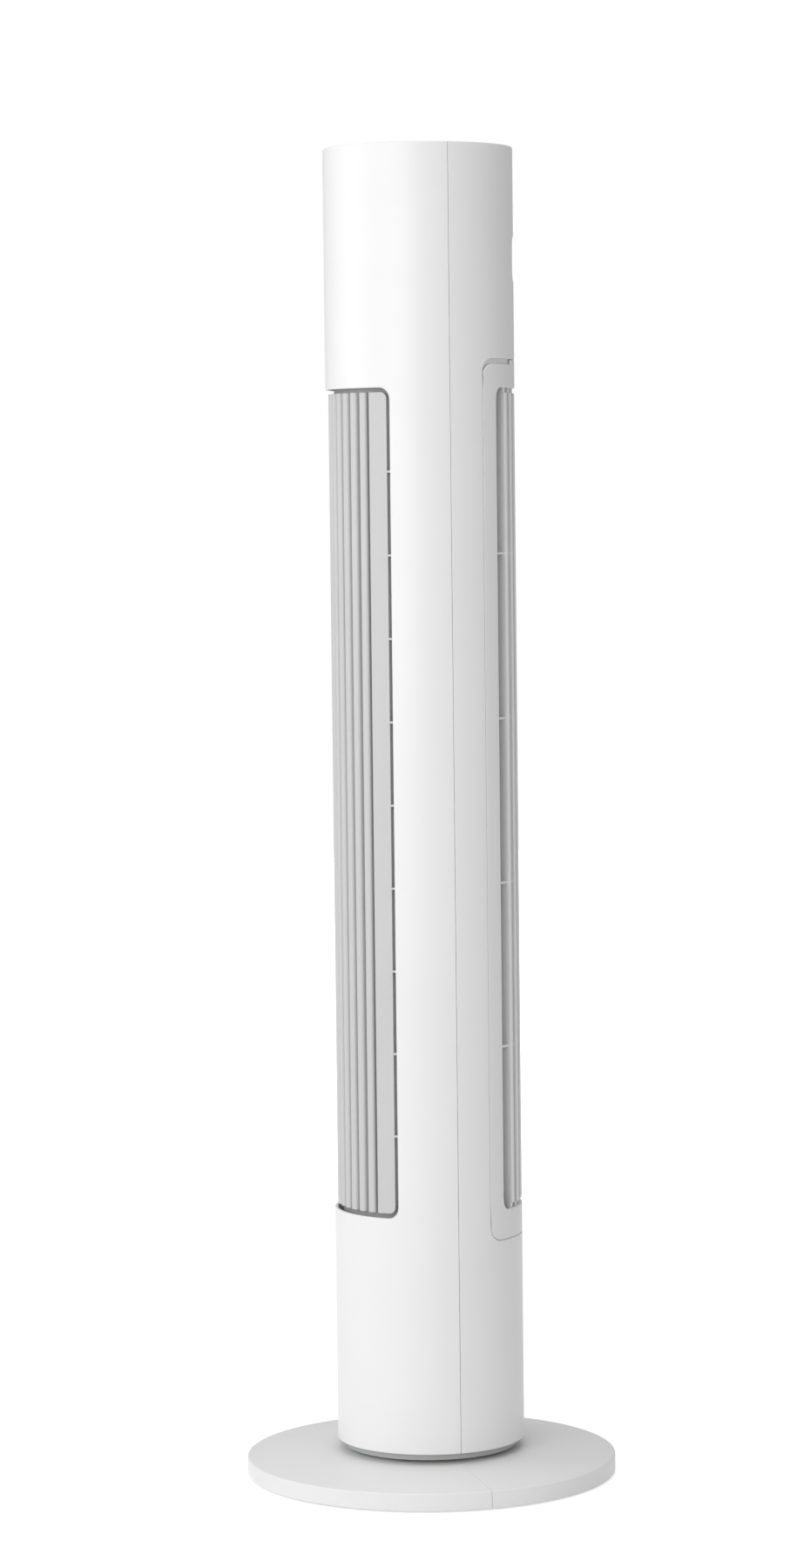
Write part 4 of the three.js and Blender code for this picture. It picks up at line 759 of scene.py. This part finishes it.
for i in range(-BARS_BESIDE, BARS_BESIDE + 1):
    upright_bar(bar_mesh, 180 + i * INTAKE_PITCH, bar_levels)
intake_bars = finish_piece(bar_mesh, "intake_bars", abs_cover, "intake_cover",
                           soften=0, sharp=50)

TIE_HALF_ANGLE, TIE_DEPTH, TIE_ROOT = 57, 2.7, 0.4
tie_mesh = bmesh.new()
for z in spaced(INTAKE_LOW, OUTLET_HIGH, RIB_PITCH):
    curved_bar(tie_mesh, COVER_INNER_R - TIE_DEPTH, COVER_INNER_R + TIE_ROOT,
               between(180 - TIE_HALF_ANGLE, 180 + TIE_HALF_ANGLE, ARC_STEP), z - THIN_HALF, z + THIN_HALF)
finish_piece(tie_mesh, "intake_ties", abs_cover, "intake_cover", soften=0.2)
print("intake bars:", len(intake_bars.data.polygons), "faces")

# %% [markdown]
# Behind the cover the rear shell has a seat: a band set in by the cover's thickness,
# with the way for the air through it. It also closes the nail slots from behind.
# It could be the rear shell's own wall, stepped inwards. A panel of its own gives the same view
# with straight edges, and its ends are hidden behind the shell.

# %% Cover seat
SEAT_OUTER_R, SEAT_INNER_R = COVER_INNER_R - 0.3, COVER_INNER_R - 3.0
SEAT_LOW, SEAT_HIGH, SEAT_END = COVER_LOW - 7, COVER_TOP + 6, 262.5
AIRWAY_HALF, AIRWAY_LOW, AIRWAY_HIGH, AIRWAY_CORNER = 61.5, 209.3, OUTLET_HIGH + 2, 4
SEAT_OPENING = Window(BODY_R, AIRWAY_HALF, AIRWAY_LOW, AIRWAY_HIGH, AIRWAY_CORNER, centre=180)
seat_inside = SEAT_OPENING.angles()
seat_side = between(seat_inside[-1], SEAT_END, ARC_STEP)
seat_from, seat_to = AIRWAY_LOW + AIRWAY_CORNER, AIRWAY_HIGH - AIRWAY_CORNER
seat_patches = [
    (seat_inside, lambda a: [SEAT_LOW, SEAT_OPENING.low(a)]),
    (seat_inside, lambda a: [SEAT_OPENING.high(a), SEAT_HIGH]),
]
seat_patches += stacked((seat_side, mirrored(seat_side, 180)),
                        lambda a: [SEAT_LOW, seat_from],
                        lambda a: between(seat_from, seat_to, ROW_STEP),
                        lambda a: [seat_to, SEAT_HIGH])
finish_piece(wrapped_panel(seat_patches, constant(SEAT_OUTER_R), constant(SEAT_INNER_R)),
             "cover_seat", abs_rear, "tower", soften=0.3)
print("seat from", SEAT_LOW, "to", SEAT_HIGH, "mm")

# %% [markdown]
# The carry handle is a deep pocket with a lip at the top for the fingers to curl behind.
# It could be modelled with insets and extrusions. It is drawn as rings of the same rounded outline,
# joined one to the next from the shell inwards, so that every depth is a number in the list.
# A thin collar on it stands inside the shell's window, so no gap opens between the two.

# %% Carry handle
CUP_BACK = 44.0          # from the body's axis to the pocket's back
CUP_WALL = 2
CUP_HOOK = 14            # how far the pocket rises behind its lip
CUP_ROUND = 5.0          # the round between its sides and its back
SMALLEST_CORNER = 2.0    # of the rings that close in on the back
LIP_THICK = 1
COLLAR_REACH = 1.0       # into the shell's window
SNUG, MOUTH = 0.05, 0.7  # outer and inner face of the collar, in from the window's edge
CUP_ROOM = 0.3           # between the pocket's outside and the shell


def rounded_outline(half, z0, z1, r, steps=8, across=16):
    """Points of a rounded rectangle in X and Z, anticlockwise, with points along its top and bottom too."""
    points = []
    side, low, high = half - r, z0 + r, z1 - r
    for cx, cz, start in ((side, low, 270), (side, high, 0), (-side, high, 90), (-side, low, 180)):
        for i in range(steps + 1):
            t = math.radians(start + 90 * i / steps)
            points.append((cx + r * math.cos(t), cz + r * math.sin(t)))
        if start in (0, 180):
            x, z = points[-1]
            points += [(x - 2 * x * i / across, z) for i in range(1, across)]
    return points


def handle_outline(grow, corner, hook=0):
    """The handle's window, larger all round by so many millimetres, and higher by the hook."""
    return rounded_outline(HANDLE_HALF_WIDTH + grow, HANDLE_LOW - grow, HANDLE_HIGH + hook + grow, corner)


def on_shell(ring, r):
    """The ring, bent on to a round wall of radius r."""
    return [(x, math.sqrt(r * r - x * x), z) for x, z in ring]


def flat(ring, y):
    return [(x, y, z) for x, z in ring]


snug, mouth = (handle_outline(-inset, HANDLE_CORNER - inset) for inset in (SNUG, MOUTH))
cavity = handle_outline(0, HANDLE_CORNER - CUP_WALL, CUP_HOOK)
outside = handle_outline(CUP_WALL, HANDLE_CORNER, CUP_HOOK)
outer_edge = on_shell(outside, SHELL_INNER_R - CUP_ROOM)
lip_y = min(y for x, y, z in outer_edge) - 0.5
cup_rings = [
    flat(outside, CUP_BACK - CUP_WALL),
    outer_edge,
    on_shell(snug, SHELL_INNER_R - CUP_ROOM),
    on_shell(snug, SHELL_INNER_R + COLLAR_REACH),
    on_shell(mouth, SHELL_INNER_R + COLLAR_REACH),
    flat(mouth, lip_y + LIP_THICK),
    flat(mouth, lip_y),
    flat(cavity, lip_y),
    flat(cavity, lip_y - LIP_THICK),
]
for t in between(0, math.pi / 2, math.pi / 12):
    shrink = CUP_ROUND * (1 - math.cos(t))
    ring = handle_outline(-shrink, max(SMALLEST_CORNER, HANDLE_CORNER - CUP_WALL - shrink), CUP_HOOK)
    cup_rings.append(flat(ring, CUP_BACK + CUP_ROUND * (1 - math.sin(t))))

cup_mesh = bmesh.new()
loops = [[cup_mesh.verts.new(Vector(p) * MM) for p in ring] for ring in cup_rings]
for one, two in zip(loops, loops[1:]):
    for i in range(len(one)):
        j = (i + 1) % len(one)
        cup_mesh.faces.new((one[i], one[j], two[j], two[i]))
cup_mesh.faces.new(loops[-1])
cup_mesh.faces.new(loops[0][::-1])
finish_piece(cup_mesh, "carry_pocket", abs_rear, "tower", ["handle_cup"], soften=0.4)
print("pocket:", len(cup_rings), "rings of", len(cavity), "points")

# %% [markdown]
# The base is a shallow domed disc, moulded in two halves like the body. A lathe makes such a
# shape: one outline is turned about the axis. Each half is turned through just under 180 degrees
# and closed at its ends, so that the parting line is a true gap. The Screw modifier turns outlines
# too, but not with the flat ends and the uneven steps that the base needs.

# %% Lathe
LATHE_STEP = 3.75        # degrees


def turned(bm, outline, angles=None, gap=0.0, centre=(0, 0)):
    """Turns a closed outline of (radius, height) about an upright axis. A part turn gets flat ends."""
    full = angles is None
    angles = between(0, 360, LATHE_STEP)[:-1] if full else angles
    side = -1 if abs(angles[0] + angles[-1]) < 180 else 1
    middle = Vector((centre[0], centre[1], 0)) * MM
    on_axis = {k: bm.verts.new(middle + Vector((0, 0, z)) * MM) for k, (r, z) in enumerate(outline) if r == 0}
    rings = []
    for a in angles:
        ring = []
        for k, (r, z) in enumerate(outline):
            p = on_round(r, a, z) + middle
            if not full and a in (angles[0], angles[-1]):
                p.y = side * gap / 2 * MM
            ring.append(on_axis[k] if k in on_axis else bm.verts.new(p))
        rings.append(ring)
    pairs = list(zip(rings, rings[1:])) + ([(rings[-1], rings[0])] if full else [])
    for one, two in pairs:
        for k in range(len(outline)):
            m = (k + 1) % len(outline)
            corners = list(dict.fromkeys((one[k], two[k], two[m], one[m])))
            if len(corners) > 2:
                bm.faces.new(corners)
    if not full:
        bm.faces.new(rings[0])
        bm.faces.new(rings[-1][::-1])


def rounded(outline, radius, steps=3):
    """The same closed outline with rounded corners. The radius is one number, or one for each corner."""
    radii = radius if isinstance(radius, (list, tuple)) else [radius] * len(outline)
    found = []
    for i, (point, size) in enumerate(zip(outline, radii)):
        here = Vector(point)
        before, after = (Vector(outline[i - 1]) - here), (Vector(outline[(i + 1) % len(outline)]) - here)
        cut_back = min(size, before.length / 2.2, after.length / 2.2)
        if cut_back <= 0:
            found.append(tuple(here))
            continue
        one, two = here + before.normalized() * cut_back, here + after.normalized() * cut_back
        for k in range(steps + 1):
            t = k / steps
            found.append(tuple(one * (1 - t) ** 2 + here * 2 * t * (1 - t) + two * t * t))
    return found


print("a turned disc has", len(between(0, 360, LATHE_STEP)) - 1, "steps round")

# %% [markdown]
# The top of the base falls gently from the body towards the rim, so light rolls off it. Each half
# of the disc ends 0.15 mm short of the middle. At the rear the mains inlet needs a slot through
# the rim. A Boolean could cut it. Here its edges are part of the turned outline and its sides are
# two of the turn's steps, so the faces between them can be taken out and the slot lined.

# %% Base
BASE_R, BASE_WALL = 154, 3.0
RIM_TOP, RIM_BOTTOM, RIM_EDGE, RIM_LOW_EDGE = 15.6, 1.2, 1.5, 0.6
CROWN, LAND_R = 21.5, 80           # height of the middle, and where the top begins to fall
DOME_POWER = 1.6
NECK_HOLE_R = 30.3
INLET_HALF_WIDTH, INLET_LOW, INLET_HIGH = 7.5, 4.1, 12.1


def dome(r):
    """Height of the base's top at radius r."""
    return CROWN - (CROWN - RIM_TOP) * (max(0.0, r - LAND_R) / (BASE_R - LAND_R)) ** DOME_POWER


def open_slot(bm, half_width, z0, z1):
    """Takes out the wall between two heights at the rear and lines the slot."""
    near = 0.01 * MM

    def within(v):
        at_rear = v.co.y > 0 and abs(v.co.x) < half_width * MM + near
        return at_rear and z0 * MM - near < v.co.z < z1 * MM + near

    wall = [f for f in bm.faces if all(within(v) for v in f.verts)]
    bmesh.ops.delete(bm, geom=wall, context="FACES")
    bmesh.ops.bridge_loops(bm, edges=[e for e in bm.edges if e.is_boundary])
    return len(wall)


edge_r, inner_r = BASE_R - RIM_EDGE, BASE_R - BASE_WALL
top_line = [(r, dome(r)) for r in [NECK_HOLE_R, 55, *between(LAND_R, edge_r, 4)]]
rim = [(edge_r + RIM_EDGE * math.sin(t), dome(edge_r) - RIM_EDGE + RIM_EDGE * math.cos(t))
       for t in between(0, math.pi / 2, math.pi / 12)]
outer_wall = [(BASE_R, INLET_HIGH), (BASE_R, INLET_LOW), (BASE_R, RIM_BOTTOM + RIM_LOW_EDGE),
              (BASE_R - RIM_LOW_EDGE, RIM_BOTTOM)]
inner_wall = [(inner_r, RIM_BOTTOM), (inner_r, INLET_LOW), (inner_r, INLET_HIGH)]
under_line = [(r, dome(r) - BASE_WALL) for r in (inner_r, 135, 110, LAND_R, NECK_HOLE_R)]
base_outline = top_line[:-1] + rim + outer_wall + inner_wall + under_line

inlet_angle = math.degrees(math.asin(INLET_HALF_WIDTH / BASE_R))
front_half = between(-90, 90, ARC_STEP)
rear_half = [a for a in between(90, 270, ARC_STEP) if abs(abs(a - 180) - inlet_angle) > 1.0]
rear_half = sorted(rear_half + [180 - inlet_angle, 180 + inlet_angle])
for name, angles in {"base_front_half": front_half, "base_rear_half": rear_half}.items():
    base_mesh = bmesh.new()
    turned(base_mesh, base_outline, angles, gap=SEAM)
    taken = open_slot(base_mesh, INLET_HALF_WIDTH, INLET_LOW, INLET_HIGH) if name == "base_rear_half" else 0
    finish_piece(base_mesh, name + "_skin", abs_base, "base", [name], soften=0.3, angle=40)
    print(name, "outline:", len(base_outline), "points, faces taken out for the inlet:", taken)

# %% [markdown]
# The body stands on a turntable. Only its skirt shows, as a slightly darker band in the gap over
# the base. It is turned like the base, and two posts on it carry the swing motor. The posts could be
# cylinders. Turned on the same lathe, they get their round edge at the top for nothing.

# %% Turntable
SKIRT_R, SKIRT_LOW, SKIRT_RISE = 72.0, 24.6, 33.0
FLANGE_R, FLANGE_THICK = SHELL_INNER_R - 0.3, 3
SKIRT_WALL, DECK_THICK = 3, 4
POST_X, POST_Y, POST_R, POST_TOP = 29, -44, 4, 56.6
skirt_outline = rounded(
    [(NECK_HOLE_R, SKIRT_LOW), (SKIRT_R, SKIRT_LOW), (SKIRT_R, SKIRT_RISE), (FLANGE_R, SKIRT_RISE),
     (FLANGE_R, SKIRT_RISE + FLANGE_THICK), (SKIRT_R - SKIRT_WALL, SKIRT_RISE + FLANGE_THICK),
     (SKIRT_R - SKIRT_WALL, SKIRT_LOW + DECK_THICK), (NECK_HOLE_R, SKIRT_LOW + DECK_THICK)], 0.5)
skirt_mesh = bmesh.new()
turned(skirt_mesh, skirt_outline)
post_low = SKIRT_LOW + DECK_THICK - 0.2        # a little way into the deck
post = rounded([(0, post_low), (POST_R, post_low), (POST_R, POST_TOP), (0, POST_TOP)], [0, 0, 0.5, 0])
for x in (-POST_X, POST_X):
    turned(skirt_mesh, post, centre=(x, POST_Y))
turntable = finish_piece(skirt_mesh, "turntable_deck", pp_deck, "tower", ["turntable"],
                         soften=0, sharp=40)
print("turntable faces:", len(turntable.data.polygons))

# %% [markdown]
# The control panel is a flat plate with six round holes. A filled curve makes such a plate: every
# closed ring inside another becomes a hole, and the curve's own bevel rounds all the edges at once.
# Its flat face shades evenly only where every edge of that fine bevel is kept sharp.

# %% Control panel
PANEL_TOP, PANEL_THICK, PANEL_EDGE = 1098.6, 3.0, 0.3
PANEL_R = SHELL_INNER_R - 0.3
LENS_R = 16.0
BUTTONS = ("timer", "mode", "power", "speed", "swing")
BUTTON_R, BUTTON_TOP = 7.0, 1099.4
BUTTON_RING, BUTTON_SPACING = 46.0, 30     # their distance from the axis, the angle between them
LENS_ROOM, BUTTON_ROOM = 0.3, 0.4


def ring_points(cx, cy, r, count):
    """Points round a circle, anticlockwise."""
    step = 2 * math.pi / count
    return [(cx + r * math.cos(step * i), cy + r * math.sin(step * i)) for i in range(count)]


def plate_with_holes(rings, z0, z1, edge):
    """Mesh of a flat plate: the first ring is its outline and the rest are holes."""
    drawing = bpy.data.curves.new("plate", "CURVE")
    drawing.dimensions = "2D"
    drawing.fill_mode = "BOTH"
    drawing.extrude = ((z1 - z0) / 2 - edge) * MM
    drawing.bevel_depth = edge * MM
    drawing.bevel_resolution = 2
    drawing.offset = -edge * MM
    for ring in rings:
        spline = drawing.splines.new("POLY")
        spline.points.add(len(ring) - 1)
        for point, (x, y) in zip(spline.points, ring):
            point.co = (x * MM, y * MM, 0, 1)
        spline.use_cyclic_u = True
    holder = bpy.data.objects.new("plate", drawing)
    bm = bmesh.new()
    bm.from_mesh(holder.to_mesh())
    bpy.data.objects.remove(holder)
    bpy.data.curves.remove(drawing)
    bmesh.ops.remove_doubles(bm, verts=bm.verts, dist=0.002 * MM)
    bmesh.ops.translate(bm, verts=bm.verts, vec=(0, 0, (z0 + z1) / 2 * MM))
    return bm


button_places = {}
for i, key in enumerate(BUTTONS):
    place = on_round(BUTTON_RING, (i - 2) * BUTTON_SPACING, 0) / MM
    button_places[key] = (place.x, place.y)
rings = [ring_points(0, 0, PANEL_R, 128), ring_points(0, 0, LENS_R + LENS_ROOM, 64)[::-1]]
rings += [ring_points(x, y, BUTTON_R + BUTTON_ROOM, 48)[::-1] for x, y in button_places.values()]
panel_mesh = plate_with_holes(rings, PANEL_TOP - PANEL_THICK, PANEL_TOP, PANEL_EDGE)
top_panel = finish_piece(panel_mesh, "control_panel", abs_white, "tower", ["top_panel"],
                         soften=0, sharp=12)
print("panel faces:", len(top_panel.data.polygons))

# %% [markdown]
# The buttons and the smoked lens are turned on the same lathe. Each button has a shallow dish, so
# that a fingertip finds it without looking, a flange that keeps it under the panel, and a stem
# down to its switch. A ball could press the dish in with a Boolean, but in a turned outline it is
# only two points set lower. Each button rides on its own key, so that it sinks when pressed.

# %% Buttons and lens
DISH = 0.35
KEY_TOP = PANEL_TOP - PANEL_THICK - 0.4    # top of a button's flange, just under the panel
KEY_LOW, STEM_LOW = KEY_TOP - 1.6, KEY_TOP - 5.7
KEY_FLANGE_R, STEM_R = BUTTON_R + 1.2, 2.5
CAP = [
    ((0, BUTTON_TOP - DISH), 0),           # each corner: its radius and height, and how it is rounded
    ((BUTTON_R - 2.2, BUTTON_TOP - DISH * 0.7), 0.8),
    ((BUTTON_R - 0.9, BUTTON_TOP), 0.5),
    ((BUTTON_R, BUTTON_TOP - 0.2), 0.5),
    ((BUTTON_R, KEY_TOP), 0),
    ((KEY_FLANGE_R, KEY_TOP), 0.2),
    ((KEY_FLANGE_R, KEY_LOW), 0.2),
    ((STEM_R, KEY_LOW), 0.2),
    ((STEM_R, STEM_LOW), 0.2),
    ((0, STEM_LOW), 0),
]
cap = rounded([corner for corner, size in CAP], [size for corner, size in CAP])
for key, (x, y) in button_places.items():
    cap_mesh = bmesh.new()
    turned(cap_mesh, cap, centre=(x, y))
    finish_piece(cap_mesh, f"{key}_button_cap", abs_button, f"{key}_key", [f"{key}_button"],
                 soften=0, sharp=40)

LENS_FLANGE_R, LENS_LOW = LENS_R + 2, PANEL_TOP - PANEL_THICK - 0.3
LENS_BOTTOM = LENS_LOW - 1.7
lens_outline = [(0, PANEL_TOP), (LENS_R, PANEL_TOP), (LENS_R, LENS_LOW), (LENS_FLANGE_R, LENS_LOW),
                (LENS_FLANGE_R, LENS_BOTTOM), (0, LENS_BOTTOM)]
lens_mesh = bmesh.new()
turned(lens_mesh, rounded(lens_outline, [0, 0.4, 0, 0.2, 0.2, 0]))
finish_piece(lens_mesh, "display_window", smoked_acrylic, "tower", ["display_lens"],
             soften=0, sharp=40)
print("buttons:", ", ".join(button_places))

# %% [markdown]
# The solids that stay as they are get softly shaded edges. Auto Smooth's own asset would do, but
# it has to be read from disk. A small geometry-nodes group does the same: it shades every face
# smooth except across edges sharper than 30 degrees, and leaves the mesh itself alone.

# %% Smooth shading for kept solids
CREASE = math.radians(30)
WELD = 0.01 * MM
shading = bpy.data.node_groups.new("smooth_by_angle", "GeometryNodeTree")
shading.interface.new_socket("Geometry", in_out="INPUT", socket_type="NodeSocketGeometry")
shading.interface.new_socket("Geometry", in_out="OUTPUT", socket_type="NodeSocketGeometry")
entry = node(shading, "NodeGroupInput").outputs[0]
bare = node(shading, "GeometryNodeRemoveAttribute", Geometry=entry, Name="custom_normal").outputs[0]
welded = node(shading, "GeometryNodeMergeByDistance", Geometry=bare, Distance=WELD).outputs[0]
smooth = node(shading, "GeometryNodeSetShadeSmooth", {"domain": "FACE"}, Geometry=welded).outputs[0]
corner_angle = node(shading, "GeometryNodeInputMeshEdgeAngle").outputs["Unsigned Angle"]
creases = node(shading, "FunctionNodeCompare", {"operation": "GREATER_THAN"}, _0=corner_angle, _1=CREASE)
creased = node(shading, "GeometryNodeSetShadeSmooth", {"domain": "EDGE"}, Geometry=smooth,
               Selection=creases.outputs[0], Shade_Smooth=False)
node(shading, "NodeGroupOutput", Geometry=creased.outputs[0])
print("nodes in the shading group:", len(shading.nodes))

# %% [markdown]
# The kept solids are what works inside and under the fan. Each gets the finish of the real part:
# zinc-plated steel for plate, neck, pins and screws, bare steel for the swing motor's can,
# black PBT for the fan motor and the inlet, acetal for gears and the washer that slides,
# glass-filled nylon for the impeller, pale ABS for the air path, and rubber for what damps and grips.
# A material could be put into each mesh. It goes into the object's own slot instead, so that
# the mesh of the part stays as it came.

# %% Finishes of the kept solids
def numbered(name, count):
    return [f"{name}_{i}" for i in range(1, count + 1)]


finishes = {
    zinc_steel: ["base_plate", "neck_tube", "retaining_ring", "motor_bracket", "motor_shaft", "top_pin",
                 *numbered("base_screw", 4), *numbered("shell_screw", 6)],
    motor_steel: ["swing_motor"],
    pbt_black: ["fan_motor", "power_inlet"],
    acetal: ["thrust_washer", "gear_spacer", "swing_gear", "swing_pinion"],
    nylon_rotor: ["impeller"],
    abs_inner: ["duct_floor", "duct_ceiling", "air_guide", "air_tongue"],
    rubber_black: ["top_bearing", *numbered("motor_damper", 3), *numbered("foot", 6)],
    solder_mask: ["control_board", "power_board"],
}
for finish, names in finishes.items():
    for name in names:
        solid = frame["nodes"][name]
        for place in solid.material_slots:
            place.link = "OBJECT"
            place.material = finish
        solid.modifiers.new("smooth_by_angle", "NODES").node_group = shading
print("kept solids dressed:", sum(len(names) for names in finishes.values()))

# %% [markdown]
# The stage is plain: a white sweep for a floor, white surroundings, and soft light.
# A floor that only glows would be just as white, but it would take no shadow. So this one shows
# white to the camera, and a share of it is a true diffuse white that darkens under the base.

# %% Floor and backdrop
def white_sweep(name, glow=0.5, far_glow=0.85, diffuse=0.86):
    """White floor. It glows a little towards the camera, and more from 1 m to 3 m away from the fan."""
    material, tree = new_material(name)
    place = node(tree, "ShaderNodeTexCoord").outputs["Object"]
    away = node(tree, "ShaderNodeVectorMath", {"operation": "LENGTH"}, _0=place)
    glow_here = node(tree, "ShaderNodeMapRange", Value=away.outputs["Value"], From_Min=1.0, From_Max=3.0,
                     To_Min=glow, To_Max=far_glow)
    rays = node(tree, "ShaderNodeLightPath").outputs
    direct = node(tree, "ShaderNodeMath", {"operation": "MAXIMUM"},
                  _0=rays["Is Camera Ray"], _1=rays["Is Glossy Ray"])
    any_view = node(tree, "ShaderNodeMath", {"operation": "MAXIMUM"},
                    _0=direct.outputs[0], _1=rays["Is Transmission Ray"])
    glow_seen = node(tree, "ShaderNodeMath", {"operation": "MULTIPLY"},
                     _0=any_view.outputs[0], _1=glow_here.outputs["Result"])
    light = node(tree, "ShaderNodeEmission", Strength=glow_seen.outputs[0])
    matt = node(tree, "ShaderNodeBsdfDiffuse", Color=[diffuse] * 3 + [1])
    both = node(tree, "ShaderNodeAddShader", _0=light.outputs[0], _1=matt.outputs[0])
    node(tree, "ShaderNodeOutputMaterial", Surface=both.outputs[0])
    return material


FLOOR_REACH = 6.0        # metres from the fan to the floor's edge
floor_mesh = bmesh.new()
bmesh.ops.create_grid(floor_mesh, x_segments=2, y_segments=2, size=FLOOR_REACH)
floor_data = bpy.data.meshes.new("floor")
floor_mesh.to_mesh(floor_data)
floor_mesh.free()
floor = bpy.data.objects.new("floor", floor_data)
bpy.context.scene.collection.objects.link(floor)
floor_data.materials.append(white_sweep("white_sweep"))

ROOM_LIGHT = 0.46        # strength of the white room on the fan; to the camera it is 1, plain white
world = bpy.data.worlds.new("white_room")
world.use_nodes = True
world.node_tree.nodes.clear()
paths = node(world.node_tree, "ShaderNodeLightPath").outputs
seen = node(world.node_tree, "ShaderNodeMath", {"operation": "MAXIMUM"}, _0=paths["Is Camera Ray"],
            _1=paths["Is Transmission Ray"])
strength = node(world.node_tree, "ShaderNodeMapRange", Value=seen.outputs[0], To_Min=ROOM_LIGHT, To_Max=1.0)
sky = node(world.node_tree, "ShaderNodeBackground", Color=[1, 1, 1, 1], Strength=strength.outputs["Result"])
node(world.node_tree, "ShaderNodeOutputWorld", Surface=sky.outputs[0])
bpy.context.scene.world = world
print("floor reaches", FLOOR_REACH, "m, room light", ROOM_LIGHT)

# %% [markdown]
# Three soft boxes model the round of the body. The key stands to the right of the front and gives
# the bright strip there, a weaker fill on the other side keeps the outlet open, and a broad one
# overhead lights the base. Area lamps do this best: their size sets how softly the tone rolls off,
# and their spread keeps the light on the fan instead of the floor.

# %% Lamps
def soft_lamp(name, azimuth, height, distance, size, watts, aim=1.0, spread=120):
    """A square soft box, placed round the fan by its angle from the front. A spread fades it off its aim."""
    lamp = bpy.data.lights.new(name, "AREA")
    lamp.shape = "SQUARE"
    lamp.size = size
    lamp.spread = math.radians(spread)
    lamp.energy = watts
    a = math.radians(azimuth)
    where = Vector((distance * math.sin(a), -distance * math.cos(a), height))
    made = bpy.data.objects.new(name, lamp)
    made.location = where
    made.rotation_euler = (Vector((0, 0, aim)) - where).to_track_quat("-Z", "Y").to_euler()
    bpy.context.scene.collection.objects.link(made)


soft_lamp("key", azimuth=47, height=1.3, distance=2.6, size=1.8, watts=14)
soft_lamp("front_fill", azimuth=-15, height=1.3, distance=2.6, size=1.8, watts=7.6)
soft_lamp("overhead", azimuth=0, height=5.0, distance=0.01, size=3.0, watts=52, aim=0, spread=180)

# %% [markdown]
# A filmic view would soften the whites. The standard one keeps each colour about as it was
# written.

# %% Finish
bpy.context.scene.view_settings.view_transform = "Standard"
